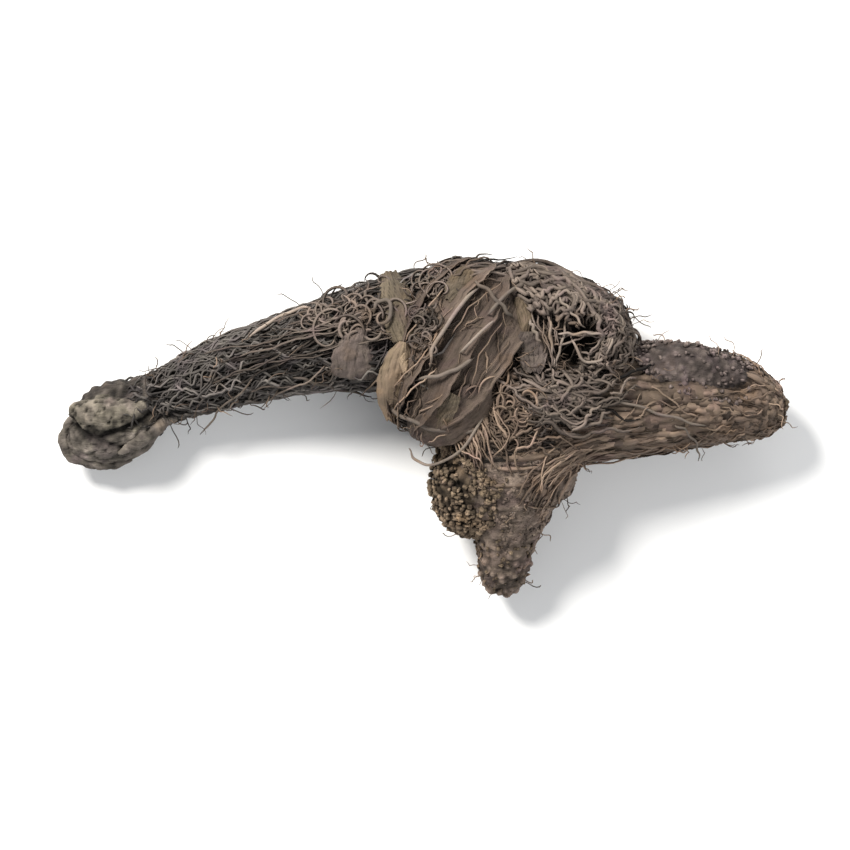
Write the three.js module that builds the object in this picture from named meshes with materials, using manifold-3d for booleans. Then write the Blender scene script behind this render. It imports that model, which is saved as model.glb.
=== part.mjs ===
import * as THREE from "three";
import { mergeVertices } from "three/addons/utils/BufferGeometryUtils.js";
import Module from "manifold-3d";

// A dried root of the valerian family: a short woody rhizome that branches three ways from a crown.
// A long arm runs left to a flared, cut foot, a thick arm runs right to a blunt end, and a short stub
// points forward. The crown is a bud wrapped in papery leaf sheaths, with a nest of wiry rootlets on it.
// Millimetres, +Z up, +X towards the thick arm. The origin is the middle of the flat spot it rests on.

const wasm = await Module();
wasm.setup();

// Driving sizes
const RIDGE_DEPTH = 0.12; // share of a ring's radius that the ridges of bark and fibre stand out
const LUMP_DEPTH = 0.09; // share of a ring's radius that slow lumps add or take
const STRAND_RADIUS = 0.42; // wiry rootlets, a little stouter than the finest real ones
const SHEATH_THICKNESS = 0.7; // stouter than the paper-thin real ones
const SHEATH_CURL = 2.4; // how late a sheath's free edge lifts, as a power of the share across it
const SHEATH_TWIST = 0.5; // how far a sheath turns round the bud from its base to its tip, in radians
const FLOOR_DEPTH = 4;
const SEED = 20;

// Stations down the middle of each part: x, y, z, half width, half height
const LEFT_ARM = [
  [1.5, 4.4, 7.0, 0.8, 0.8],
  [0.0, 4.3, 7.0, 3.9, 4.0],
  [-3.6, 3.8, 7.1, 5.2, 5.3],
  [-8.6, 3.1, 6.9, 4.8, 4.8],
  [-12.6, 2.5, 6.3, 4.0, 4.0],
  [-16.8, 1.5, 5.6, 3.4, 3.4],
  [-20.4, 0.5, 4.9, 3.1, 2.9],
  [-23.6, -0.5, 4.3, 2.8, 2.6],
  [-26.6, -1.7, 3.8, 2.3, 2.2],
  [-28.6, -2.6, 3.4, 2.2, 2.1],
  [-30.0, -3.4, 3.2, 1.2, 1.2],
];
const FOOT = [
  [-36.6, -5.3, 2.8, 0.5, 0.5],
  [-36.1, -5.4, 2.8, 1.7, 1.5],
  [-34.8, -5.5, 2.8, 2.3, 2.3],
  [-32.6, -5.4, 2.9, 2.7, 2.8],
  [-30.6, -4.9, 3.1, 2.5, 2.7],
  [-28.8, -4.1, 3.4, 1.6, 1.9],
  [-27.5, -3.8, 3.6, 0.8, 0.9],
  [-27.0, -3.7, 3.7, 0.3, 0.3],
];
const HEEL = [
  [-27.2, -2.0, 3.7, 1.2, 1.2],
  [-28.4, -2.4, 3.5, 2.0, 2.2],
  [-30.2, -2.6, 3.3, 2.0, 2.5],
  [-32.2, -2.9, 3.2, 2.1, 2.5],
  [-33.8, -3.3, 3.1, 1.8, 2.1],
  [-35.0, -3.8, 3.0, 1.0, 1.2],
];
const FOOT_FACE = [
  [-36.1, -3.8, 4.6, 0.4, 0.4],
  [-35.5, -3.8, 4.8, 1.1, 1.0],
  [-34.0, -3.8, 5.1, 1.5, 1.2],
  [-32.2, -3.8, 5.3, 1.7, 1.3],
  [-30.4, -3.7, 5.4, 1.5, 1.2],
  [-29.1, -3.6, 5.4, 1.0, 0.9],
  [-28.6, -3.6, 5.3, 0.4, 0.4],
];
const RIGHT_ARM = [
  [-1.0, -1.2, 6.6, 1.5, 1.5],
  [1.5, -1.8, 6.5, 6.2, 6.4],
  [7.5, -2.3, 6.3, 5.9, 6.0],
  [13.0, -2.4, 5.9, 5.1, 5.2],
  [17.4, -2.2, 5.6, 4.7, 4.5],
  [21.0, -2.3, 5.3, 4.1, 3.9],
  [23.8, -3.0, 5.0, 3.1, 3.1],
  [25.6, -3.5, 4.8, 2.1, 2.1],
  [26.6, -3.7, 4.7, 0.9, 1.0],
];
const STUB = [
  [1.8, -2.0, 6.3, 1.5, 1.5],
  [2.0, -4.0, 6.3, 5.8, 5.8],
  [2.6, -7.8, 6.0, 6.0, 5.7],
  [2.2, -10.4, 5.5, 5.2, 5.0],
  [2.2, -12.6, 4.9, 3.9, 4.0],
  [2.1, -15.4, 4.1, 2.5, 2.8],
  [1.9, -17.8, 3.5, 2.1, 2.2],
  [1.6, -19.4, 3.2, 1.0, 1.1],
];
const BUD = [
  [-5.4, -5.6, 7.6, 0.8, 0.8],
  [-5.0, -4.7, 7.9, 2.9, 3.0],
  [-3.9, -2.4, 8.4, 4.6, 4.7],
  [-2.4, 1.0, 8.8, 5.9, 5.4],
  [-0.8, 4.6, 8.6, 5.7, 5.2],
  [0.6, 7.4, 8.1, 4.2, 4.2],
  [1.5, 9.0, 7.8, 1.6, 1.8],
];
const NEST = [
  [2.0, 4.6, 7.2, 1.5, 1.5],
  [3.4, 4.3, 7.2, 4.9, 4.9],
  [7.0, 3.2, 7.0, 5.2, 5.3],
  [10.2, 2.0, 6.6, 4.4, 4.7],
  [12.4, 1.0, 6.3, 2.4, 2.4],
];
const BELLY = [
  [-6.5, 1.6, 6.4, 1.5, 1.5],
  [-5.0, 1.4, 6.2, 4.8, 5.4],
  [0.0, 0.4, 5.8, 6.4, 6.5],
  [5.0, -0.6, 6.0, 5.4, 6.0],
  [7.0, -1.0, 6.2, 1.5, 1.5],
];
const SHOULDER = [
  [12.6, 0.2, 6.8, 0.8, 0.8],
  [13.9, 0.3, 6.9, 2.0, 2.4],
  [17.4, 0.2, 6.9, 2.4, 3.0],
  [20.4, -0.4, 6.4, 2.0, 2.5],
  [22.6, -1.2, 6.0, 1.3, 1.5],
  [23.6, -1.6, 5.8, 0.5, 0.5],
];
const WARTS = [
  [0.8, -6.6, 6.6, 1.0, 1.0],
  [0.0, -7.6, 6.4, 3.4, 3.6],
  [-0.9, -9.6, 6.0, 3.6, 3.9],
  [-0.9, -11.8, 5.4, 3.1, 3.4],
  [-0.6, -13.2, 5.0, 2.0, 2.2],
  [-0.2, -14.2, 4.7, 0.8, 0.8],
];

// Random draws that come out the same on every run
function seeded(seed) {
  let state = seed;
  return (low = 0, high = 1) => {
    state = (state + 0x6d2b79f5) | 0;
    let mixed = Math.imul(state ^ (state >>> 15), 1 | state);
    mixed = (mixed + Math.imul(mixed ^ (mixed >>> 7), 61 | mixed)) ^ mixed;
    return low + ((high - low) * ((mixed ^ (mixed >>> 14)) >>> 0)) / 2 ** 32;
  };
}

const UP = new THREE.Vector3(0, 0, 1);
const TURN = 2 * Math.PI;

// A stretch of the root: rings of a given width and height set along a line through its stations
class Limb {
  constructor(stations, relief) {
    this.line = new THREE.CatmullRomCurve3(
      stations.map(([x, y, z]) => new THREE.Vector3(x, y, z)), false, "catmullrom", 0.5);
    this.size = new THREE.CatmullRomCurve3(
      stations.map(([, , , width, height]) => new THREE.Vector3(width, height, 0)), false, "catmullrom", 0.5);
    this.relief = relief;
  }

  // The point of the surface at a share of the length and an angle round it, raised by a lift
  at(along, angle, lift = 0) {
    const ahead = this.line.getTangent(along);
    const side = new THREE.Vector3().crossVectors(UP, ahead).normalize();
    const top = new THREE.Vector3().crossVectors(ahead, side);
    const size = this.size.getPoint(along);
    const share = this.relief(along, angle);
    return this.line.getPoint(along)
      .addScaledVector(side, (size.x * share + lift) * Math.cos(angle))
      .addScaledVector(top, (size.y * share + lift) * Math.sin(angle));
  }

  solid(rings, sides) {
    const rows = [];
    for (let i = 0; i < rings; i++) {
      const row = [];
      for (let j = 0; j < sides; j++) row.push(this.at(i / (rings - 1), (TURN * j) / sides));
      rows.push(row);
    }
    return solidOfRings(rows);
  }
}

// A closed solid through rings of points, each ring running round the way ahead, right-handed
function solidOfRings(rows) {
  const sides = rows[0].length;
  const middle = (row) => row.reduce((sum, p) => sum.add(p), new THREE.Vector3()).divideScalar(sides);
  const points = [middle(rows[0]), ...rows.flat(), middle(rows.at(-1))];
  const corner = (i, j) => 1 + i * sides + (j % sides);
  const faces = [];
  for (let j = 0; j < sides; j++) {
    faces.push(0, corner(0, j + 1), corner(0, j));
    for (let i = 0; i + 1 < rows.length; i++) {
      faces.push(corner(i, j), corner(i, j + 1), corner(i + 1, j + 1));
      faces.push(corner(i, j), corner(i + 1, j + 1), corner(i + 1, j));
    }
    faces.push(points.length - 1, corner(rows.length - 1, j), corner(rows.length - 1, j + 1));
  }
  return solidOfFaces(points, faces);
}

function solidOfFaces(points, faces) {
  const vertProperties = new Float32Array(points.flatMap((p) => [p.x, p.y, p.z]));
  return new wasm.Manifold(new wasm.Mesh({ numProp: 3, vertProperties, triVerts: new Uint32Array(faces) }));
}

function solidOfGeometry(geometry) {
  geometry.deleteAttribute("normal");
  geometry.deleteAttribute("uv");
  const merged = mergeVertices(geometry, 1e-4);
  return new wasm.Manifold(new wasm.Mesh({
    numProp: 3,
    vertProperties: merged.attributes.position.array,
    triVerts: new Uint32Array(merged.index.array),
  }));
}

// A tube along a smooth line through the given points, with a radius at each share of its length
function tube(points, radiusAt, steps, sides) {
  const line = new THREE.CatmullRomCurve3(points, false, "centripetal");
  const frames = line.computeFrenetFrames(steps, false);
  const rows = [];
  for (let i = 0; i <= steps; i++) {
    const centre = line.getPointAt(i / steps);
    const radius = radiusAt(i / steps);
    const row = [];
    for (let j = 0; j < sides; j++) {
      row.push(centre.clone()
        .addScaledVector(frames.normals[i], radius * Math.cos((TURN * j) / sides))
        .addScaledVector(frames.binormals[i], radius * Math.sin((TURN * j) / sides)));
    }
    rows.push(row);
  }
  return solidOfRings(rows);
}

// A three-sided strand that thins at both ends
function strand(points, radius, steps) {
  return tube(points, (share) => radius * (share === 0 || share === 1 ? 0.5 : 1), steps, 3);
}

// A torn edge's wander, between about -1 and 1, and how far the free edge and the ends wander with it
const TORN_EDGE = 0.045; // radians round the limb
const TORN_END = 0.02; // share of the limb's length
const ragged = (along, seed) => 0.6 * Math.sin(7 * along + seed) + 0.4 * Math.sin(19 * along + 2 * seed);

// A papery sheath on a limb, from one angle, where it lies close, to the other, where its edge stands off.
// It narrows at its ends by the share called point, which is near 1 for a scale that ends in a tip.
function sheath(limb, [fromShare, toShare], [fromAngle, toAngle], base, rise, point, twist, [rows, columns], seed) {
  const points = [];
  for (const depth of [0, SHEATH_THICKNESS]) {
    for (let i = 0; i < rows; i++) {
      const u = i / (rows - 1);
      const full = 1 - point + point * Math.sin(Math.PI * u) ** 0.6;
      for (let j = 0; j < columns; j++) {
        const v = j / (columns - 1);
        const across = 0.5 + (v - 0.5) * full;
        const angle = fromAngle + (toAngle - fromAngle) * across + twist * (u - 0.5)
          + TORN_EDGE * v * ragged(2 * u, seed);
        const share = fromShare + (toShare - fromShare) * u + TORN_END * ragged(1.5 * v, seed + 9) * (2 * u - 1);
        points.push(limb.at(share, angle, base + rise * full * v ** SHEATH_CURL - depth));
      }
    }
  }
  return solidOfSheet(points, rows, columns);
}

// A closed sheet from two grids of points, the outer and then the inner one
function solidOfSheet(points, rows, columns) {
  const inner = rows * columns;
  const at = (i, j) => i * columns + j;
  const faces = [];
  for (let i = 0; i + 1 < rows; i++) {
    for (let j = 0; j + 1 < columns; j++) {
      const [a, b, c, d] = [at(i, j), at(i, j + 1), at(i + 1, j + 1), at(i + 1, j)];
      faces.push(a, b, c, a, c, d);
      faces.push(a + inner, c + inner, b + inner, a + inner, d + inner, c + inner);
    }
  }
  const border = [];
  for (let j = 0; j + 1 < columns; j++) border.push(at(0, j));
  for (let i = 0; i + 1 < rows; i++) border.push(at(i, columns - 1));
  for (let j = columns - 1; j > 0; j--) border.push(at(rows - 1, j));
  for (let i = rows - 1; i > 0; i--) border.push(at(i, 0));
  border.forEach((here, k) => {
    const next = border[(k + 1) % border.length];
    faces.push(here, next + inner, next, here, here + inner, next + inner);
  });
  return solidOfFaces(points, faces);
}

// Relief of the surface, as a share of the ring's radius
const bark = (count, twist) => (along, angle) =>
  1 + RIDGE_DEPTH * Math.cos(count * angle + twist * along + 1.4 * Math.sin(11 * along))
    + LUMP_DEPTH * Math.sin(3 * angle + 8 * along) * Math.sin(17 * along + 1.3);
const warty = (along, angle) =>
  1 + 0.11 * Math.sin(7 * angle + 3 * along) * Math.sin(29 * along) + 0.06 * Math.sin(3 * angle - 9 * along);
const plain = () => 1;

// The flared foot waves slightly, as an oyster shell does
const rimmed = (along, angle) => 1 + 0.08 * Math.sin(2 * angle + 1) + 0.06 * Math.sin(5 * angle + 12 * along);

const leftArm = new Limb(LEFT_ARM, bark(12, 5));
const rightArm = new Limb(RIGHT_ARM, bark(13, 3));
const stub = new Limb(STUB, warty);
const bud = new Limb(BUD, plain);
const nest = new Limb(NEST, bark(6, -4));
const belly = new Limb(BELLY, plain);
const shoulder = new Limb(SHOULDER, warty);
const warts = new Limb(WARTS, warty);
const foot = new Limb(FOOT, rimmed);
const heel = new Limb(HEEL, plain);
const footFace = new Limb(FOOT_FACE, rimmed);

const draw = seeded(SEED);
const pieces = [
  leftArm.solid(17, 34),
  rightArm.solid(15, 36),
  stub.solid(15, 18),
  bud.solid(11, 18),
  nest.solid(9, 18),
  belly.solid(6, 12),
  shoulder.solid(9, 12),
  warts.solid(9, 12),
  foot.solid(9, 14),
  heel.solid(7, 12),
  footFace.solid(7, 12),
];

// Sheaths wrapped round the bud, from its base at the lower left to its tip at the upper right:
// shares of its length, angles round it, lift at the close edge, rise to the free edge, seed of its torn edges
const SHEATH_GRID = [7, 3];
const SHEATH_POINT = 0.4;
const SHEATHS = [
  [[0.06, 0.90], [0.05, 0.80], 0.05, 0.95, 1.0],
  [[0.24, 0.95], [0.75, 1.35], 0.10, 1.15, 2.3],
  [[0.10, 0.92], [1.25, 1.74], 0.10, 1.10, 3.7],
  [[0.24, 0.94], [1.65, 2.30], 0.10, 1.05, 5.1],
  [[0.12, 0.90], [2.20, 2.95], 0.05, 0.95, 6.4],
  [[0.06, 0.86], [2.85, 3.60], 0.00, 0.75, 7.9],
  [[0.02, 0.44], [1.35, 2.35], 0.55, 0.55, 9.2],
];
for (const [shares, angles, base, rise, seed] of SHEATHS) {
  pieces.push(sheath(bud, shares, angles, base, rise, SHEATH_POINT, SHEATH_TWIST, SHEATH_GRID, seed));
}

// Loose pointed scales, in the same order of numbers: one on the bud and two on the long arm
const SCALE_GRID = [6, 3];
const SCALE_POINT = 0.85;
const SCALES = [
  [bud, [0.12, 0.54], [0.15, 0.80], 1.10, 0.50, 21.0],
  [leftArm, [0.25, 0.34], [1.90, 2.75], 0.60, 0.45, 22.0],
  [leftArm, [0.33, 0.43], [0.60, 1.40], 0.60, 0.40, 23.0],
];
for (const [limb, shares, angles, base, rise, seed] of SCALES) {
  pieces.push(sheath(limb, shares, angles, base, rise, SCALE_POINT, 0, SCALE_GRID, seed));
}

// Rolled lips round the foot, under its cut face: one along the front and left, one up to the right tip
const FRONT_LIP = [
  [-35.6, -3.6, 4.0], [-36.2, -5.0, 3.5], [-35.7, -6.7, 3.0], [-34.2, -7.7, 2.9], [-32.4, -8.0, 3.0],
  [-30.8, -7.4, 3.3],
];
const FRONT_LIP_RADII = [0.3, 0.55, 0.7, 0.75, 0.7, 0.35];
const SIDE_LIP = [[-31.8, -6.6, 4.4], [-30.4, -5.9, 4.7], [-28.9, -5.0, 4.6], [-27.6, -4.0, 4.3], [-26.9, -3.5, 4.1]];
const SIDE_LIP_RADII = [0.3, 0.75, 0.8, 0.6, 0.35];
const LIP_STEPS = 12;
const LIP_SIDES = 6;
function roll(places, radii) {
  const radiusAt = (share) => {
    const place = share * (radii.length - 1);
    const first = Math.min(Math.floor(place), radii.length - 2);
    return THREE.MathUtils.lerp(radii[first], radii[first + 1], place - first);
  };
  return tube(places.map((place) => new THREE.Vector3(...place)), radiusAt, LIP_STEPS, LIP_SIDES);
}
pieces.push(roll(FRONT_LIP, FRONT_LIP_RADII), roll(SIDE_LIP, SIDE_LIP_RADII));

// Warts: round scars, larger than life, crowded on the stub's swelling and on the shoulder
const WART_SINK = 0.15;
function addWarts(limb, count, fromAngle, toAngle, low, high) {
  for (let i = 0; i < count; i++) {
    const place = limb.at(draw(0.15, 0.85), draw(fromAngle, toAngle), -WART_SINK);
    const wart = new THREE.IcosahedronGeometry(draw(low, high), 0).rotateX(draw(0, TURN)).rotateZ(draw(0, TURN));
    pieces.push(solidOfGeometry(wart.translate(place.x, place.y, place.z)));
  }
}
addWarts(warts, 24, 0.9, 3.6, 0.55, 0.8);
addWarts(shoulder, 10, 0.4, 2.8, 0.5, 0.75);

// A hollow in the nest, which the wiry rootlets curl round
const HOLLOW = { centre: [7.8, 2.1, 12.0], radii: [2.6, 2.0, 3.6] };
const hollow = solidOfGeometry(new THREE.SphereGeometry(1, 14, 8)
  .scale(...HOLLOW.radii).translate(...HOLLOW.centre));

// Rootlets that curl over the nest in arcs, from the bud clockwise to the thick arm, both ends sunk in.
// Seen from above the nest is an oval, turned a little clockwise.
const NEST_MIDDLE = new THREE.Vector2(6.0, 3.6);
const NEST_REACH = new THREE.Vector3(8.0, 5.4, 5.4);
const NEST_TURN = THREE.MathUtils.degToRad(-25);
const NEST_BASE = 6.9;
function nestPoint(degrees, share, lift) {
  const angle = THREE.MathUtils.degToRad(degrees);
  const flat = new THREE.Vector2(NEST_REACH.x * Math.cos(angle), NEST_REACH.y * Math.sin(angle))
    .multiplyScalar(share).rotateAround(new THREE.Vector2(), NEST_TURN).add(NEST_MIDDLE);
  return new THREE.Vector3(flat.x, flat.y, NEST_BASE + NEST_REACH.z * Math.sqrt(Math.max(0, 1 - share ** 2)) + lift);
}

// Spans between the points that a curled strand passes, and rings along it, and the same for a straighter one
const CURLED = { spans: 7, rings: 10 };
const STRAIGHT = { spans: 5, rings: 7 };

// The points of a strand: point(share, end) gives each, and end is true for the first and the last
function route(spans, point) {
  return Array.from({ length: spans + 1 }, (_, k) => point(k / spans, k === 0 || k === spans));
}

const NEST_ARCS = 9;
const ARC_REACH = [0.5, 1.02]; // share of the nest's reach, for the inmost arc and the outmost
const ARC_LIFT = { middle: 0.8, end: -2.6 };
const ARC_END_REACH = 0.7; // share of its own reach to which an arc's ends turn in
for (let i = 0; i < NEST_ARCS; i++) {
  const reach = THREE.MathUtils.lerp(...ARC_REACH, i / (NEST_ARCS - 1));
  const start = draw(130, 185);
  const sweep = draw(110, 215);
  const sway = draw(-0.1, 0.1);
  const points = route(CURLED.spans, (share, end) => nestPoint(
    start - sweep * share,
    (reach + sway * Math.sin(TURN * share)) * (end ? ARC_END_REACH : 1),
    end ? ARC_LIFT.end : ARC_LIFT.middle));
  pieces.push(strand(points, STRAND_RADIUS * draw(0.8, 1.15), CURLED.rings));
}

// Curly rootlets that lie in small loops on the long arm, next to the crown
const LOOPS = 6;
const LOOP_ROUND = 7.5; // radians round the limb for each share of its length, so that a loop is round
const LOOP_TURN = 0.9 * TURN;
const LOOP_END_LIFT = -1.2;
for (let i = 0; i < LOOPS; i++) {
  const along = draw(0.26, 0.44);
  const angle = draw(1.0, 2.9);
  const radius = draw(0.035, 0.06);
  const from = draw(0, TURN);
  const points = route(CURLED.spans, (share, end) => {
    const turn = from + LOOP_TURN * share;
    const lift = end ? LOOP_END_LIFT : draw(0.2, 0.9);
    return leftArm.at(along + radius * Math.cos(turn), angle + LOOP_ROUND * radius * Math.sin(turn), lift);
  });
  pieces.push(strand(points, STRAND_RADIUS * draw(0.75, 0.95), CURLED.rings));
}

// Rootlets that run along a limb, on its surface
const RUN_LIFT = { middle: 0.55, end: -0.9 };
const RUN_END = 0.97; // share of the limb's length where they all stop
function alongLimb(limb, count, begins, lengths, fromAngle, toAngle) {
  for (let i = 0; i < count; i++) {
    const begin = draw(...begins);
    const length = draw(...lengths);
    const angle = draw(fromAngle, toAngle);
    const drift = draw(-0.5, 0.5);
    const points = route(STRAIGHT.spans, (share, end) => limb.at(
      Math.min(begin + length * share, RUN_END),
      angle + drift * share + draw(-0.06, 0.06),
      end ? RUN_LIFT.end : RUN_LIFT.middle));
    pieces.push(strand(points, STRAND_RADIUS * draw(0.75, 1.05), STRAIGHT.rings));
  }
}
alongLimb(leftArm, 3, [0.3, 0.5], [0.22, 0.4], -0.2, 3.3);
alongLimb(rightArm, 4, [0.22, 0.5], [0.25, 0.42], 0, Math.PI);
alongLimb(stub, 1, [0.2, 0.4], [0.25, 0.4], 0.2, 2.9);

const floor = solidOfGeometry(new THREE.BoxGeometry(90, 60, FLOOR_DEPTH).translate(0, 0, -FLOOR_DEPTH / 2));
const grown = wasm.Manifold.union(pieces).subtract(hollow).subtract(floor);
const whole = grown.decompose().reduce((best, body) => (body.volume() > best.volume() ? body : best));

// The finished solid as a mesh
function meshOf(solid, name, material) {
  const { numProp, vertProperties, triVerts } = solid.getMesh();
  const places = new Float32Array((vertProperties.length / numProp) * 3);
  for (let i = 0; i < places.length / 3; i++) {
    places.set(vertProperties.subarray(i * numProp, i * numProp + 3), i * 3);
  }
  const geometry = new THREE.BufferGeometry();
  geometry.setAttribute("position", new THREE.BufferAttribute(places, 3));
  geometry.setIndex(new THREE.BufferAttribute(triVerts, 1));
  geometry.computeVertexNormals();
  const mesh = new THREE.Mesh(geometry, material);
  mesh.name = name;
  return mesh;
}

const bareRoot = new THREE.MeshStandardMaterial({ color: 0x5a4c40, roughness: 0.92, metalness: 0 });
const root = new THREE.Group();
root.add(meshOf(whole, "valerian_root", bareRoot));

export default root;
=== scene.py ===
import math

import bpy
import numpy as np
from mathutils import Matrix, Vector, noise
from mathutils.bvhtree import BVHTree


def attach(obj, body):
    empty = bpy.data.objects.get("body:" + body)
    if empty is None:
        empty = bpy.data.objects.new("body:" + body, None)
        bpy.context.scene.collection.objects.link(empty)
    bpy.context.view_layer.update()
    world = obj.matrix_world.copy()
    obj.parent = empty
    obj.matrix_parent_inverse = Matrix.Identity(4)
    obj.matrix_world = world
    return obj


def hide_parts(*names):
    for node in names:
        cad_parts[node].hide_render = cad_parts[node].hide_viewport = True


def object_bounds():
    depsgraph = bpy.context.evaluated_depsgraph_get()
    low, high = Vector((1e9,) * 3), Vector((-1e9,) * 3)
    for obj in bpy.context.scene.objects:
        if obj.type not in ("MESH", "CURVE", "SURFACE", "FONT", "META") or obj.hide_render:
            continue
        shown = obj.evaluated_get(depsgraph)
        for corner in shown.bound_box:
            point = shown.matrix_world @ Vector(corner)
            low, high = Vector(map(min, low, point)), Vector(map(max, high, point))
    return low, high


# A dried root of the valerian family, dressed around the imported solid: a woody skin, a net of fibres on
# the long arm, flat straws on the thick one, papery sheaths round the bud, a nest of wiry rootlets, warts
# on the stub and a pitted foot. Lengths are millimetres until a mesh is made, and metres after that.

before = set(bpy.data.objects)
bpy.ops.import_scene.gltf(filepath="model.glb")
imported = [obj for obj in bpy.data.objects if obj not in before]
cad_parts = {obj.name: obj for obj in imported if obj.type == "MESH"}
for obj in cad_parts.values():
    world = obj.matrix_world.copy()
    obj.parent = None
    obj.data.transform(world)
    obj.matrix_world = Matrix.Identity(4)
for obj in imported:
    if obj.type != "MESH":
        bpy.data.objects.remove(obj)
cad_low, cad_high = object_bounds()

MM = 0.001
TURN = 2 * math.pi
ALL_ROUND = (0, TURN)
UNDERSIDE = (math.pi, TURN)
NODE = "valerian_root"

# Stations down the middle of each part, as in the solid: x, y, z, half width, half height
LEFT_ARM = [
    (1.5, 4.4, 7.0, 0.8, 0.8), (0.0, 4.3, 7.0, 3.9, 4.0), (-3.6, 3.8, 7.1, 5.2, 5.3),
    (-8.6, 3.1, 6.9, 4.8, 4.8), (-12.6, 2.5, 6.3, 4.0, 4.0), (-16.8, 1.5, 5.6, 3.4, 3.4),
    (-20.4, 0.5, 4.9, 3.1, 2.9), (-23.6, -0.5, 4.3, 2.8, 2.6), (-26.6, -1.7, 3.8, 2.3, 2.2),
    (-28.6, -2.6, 3.4, 2.2, 2.1), (-30.0, -3.4, 3.2, 1.2, 1.2),
]
FOOT = [
    (-36.6, -5.3, 2.8, 0.5, 0.5), (-36.1, -5.4, 2.8, 1.7, 1.5), (-34.8, -5.5, 2.8, 2.3, 2.3),
    (-32.6, -5.4, 2.9, 2.7, 2.8), (-30.6, -4.9, 3.1, 2.5, 2.7), (-28.8, -4.1, 3.4, 1.6, 1.9),
    (-27.5, -3.8, 3.6, 0.8, 0.9), (-27.0, -3.7, 3.7, 0.3, 0.3),
]
HEEL = [
    (-27.2, -2.0, 3.7, 1.2, 1.2), (-28.4, -2.4, 3.5, 2.0, 2.2), (-30.2, -2.6, 3.3, 2.0, 2.5),
    (-32.2, -2.9, 3.2, 2.1, 2.5), (-33.8, -3.3, 3.1, 1.8, 2.1), (-35.0, -3.8, 3.0, 1.0, 1.2),
]
FOOT_FACE = [
    (-36.1, -3.8, 4.6, 0.4, 0.4), (-35.5, -3.8, 4.8, 1.1, 1.0), (-34.0, -3.8, 5.1, 1.5, 1.2),
    (-32.2, -3.8, 5.3, 1.7, 1.3), (-30.4, -3.7, 5.4, 1.5, 1.2), (-29.1, -3.6, 5.4, 1.0, 0.9),
    (-28.6, -3.6, 5.3, 0.4, 0.4),
]
RIGHT_ARM = [
    (-1.0, -1.2, 6.6, 1.5, 1.5), (1.5, -1.8, 6.5, 6.2, 6.4), (7.5, -2.3, 6.3, 5.9, 6.0),
    (13.0, -2.4, 5.9, 5.1, 5.2), (17.4, -2.2, 5.6, 4.7, 4.5), (21.0, -2.3, 5.3, 4.1, 3.9),
    (23.8, -3.0, 5.0, 3.1, 3.1), (25.6, -3.5, 4.8, 2.1, 2.1), (26.6, -3.7, 4.7, 0.9, 1.0),
]
STUB = [
    (1.8, -2.0, 6.3, 1.5, 1.5), (2.0, -4.0, 6.3, 5.8, 5.8), (2.6, -7.8, 6.0, 6.0, 5.7),
    (2.2, -10.4, 5.5, 5.2, 5.0), (2.2, -12.6, 4.9, 3.9, 4.0), (2.1, -15.4, 4.1, 2.5, 2.8),
    (1.9, -17.8, 3.5, 2.1, 2.2), (1.6, -19.4, 3.2, 1.0, 1.1),
]
BUD = [
    (-5.4, -5.6, 7.6, 0.8, 0.8), (-5.0, -4.7, 7.9, 2.9, 3.0), (-3.9, -2.4, 8.4, 4.6, 4.7),
    (-2.4, 1.0, 8.8, 5.9, 5.4), (-0.8, 4.6, 8.6, 5.7, 5.2), (0.6, 7.4, 8.1, 4.2, 4.2),
    (1.5, 9.0, 7.8, 1.6, 1.8),
]
NEST = [
    (2.0, 4.6, 7.2, 1.5, 1.5), (3.4, 4.3, 7.2, 4.9, 4.9), (7.0, 3.2, 7.0, 5.2, 5.3),
    (10.2, 2.0, 6.6, 4.4, 4.7), (12.4, 1.0, 6.3, 2.4, 2.4),
]
BELLY = [
    (-6.5, 1.6, 6.4, 1.5, 1.5), (-5.0, 1.4, 6.2, 4.8, 5.4), (0.0, 0.4, 5.8, 6.4, 6.5),
    (5.0, -0.6, 6.0, 5.4, 6.0), (7.0, -1.0, 6.2, 1.5, 1.5),
]
SHOULDER = [
    (12.6, 0.2, 6.8, 0.8, 0.8), (13.9, 0.3, 6.9, 2.0, 2.4), (17.4, 0.2, 6.9, 2.4, 3.0),
    (20.4, -0.4, 6.4, 2.0, 2.5), (22.6, -1.2, 6.0, 1.3, 1.5), (23.6, -1.6, 5.8, 0.5, 0.5),
]
WARTS = [
    (0.8, -6.6, 6.6, 1.0, 1.0), (0.0, -7.6, 6.4, 3.4, 3.6), (-0.9, -9.6, 6.0, 3.6, 3.9),
    (-0.9, -11.8, 5.4, 3.1, 3.4), (-0.6, -13.2, 5.0, 2.0, 2.2), (-0.2, -14.2, 4.7, 0.8, 0.8),
]


# Limbs: rings set along a smooth line

def smooth_curve(points, shares):
    """Points of a smooth curve through the rows of points, at shares of its length."""
    points = np.asarray(points, float)
    spans = len(points) - 1
    place = np.clip(shares, 0, 1) * spans
    first = np.minimum(place.astype(int), spans - 1)
    part = (place - first)[..., None]
    padded = np.vstack([2 * points[0] - points[1], points, 2 * points[-1] - points[-2]])
    a, b, c, d = padded[first], padded[first + 1], padded[first + 2], padded[first + 3]
    return 0.5 * (2 * b + (c - a) * part + (2 * a - 5 * b + 4 * c - d) * part**2
                  + (3 * b - a - 3 * c + d) * part**3)


def unit(vectors):
    return vectors / np.maximum(np.linalg.norm(vectors, axis=-1, keepdims=True), 1e-9)


def evenly(steps):
    """Even shares of a length, from 0 to 1."""
    return np.linspace(0, 1, steps)


def between(span, level):
    return span[0] + (span[1] - span[0]) * level


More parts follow.
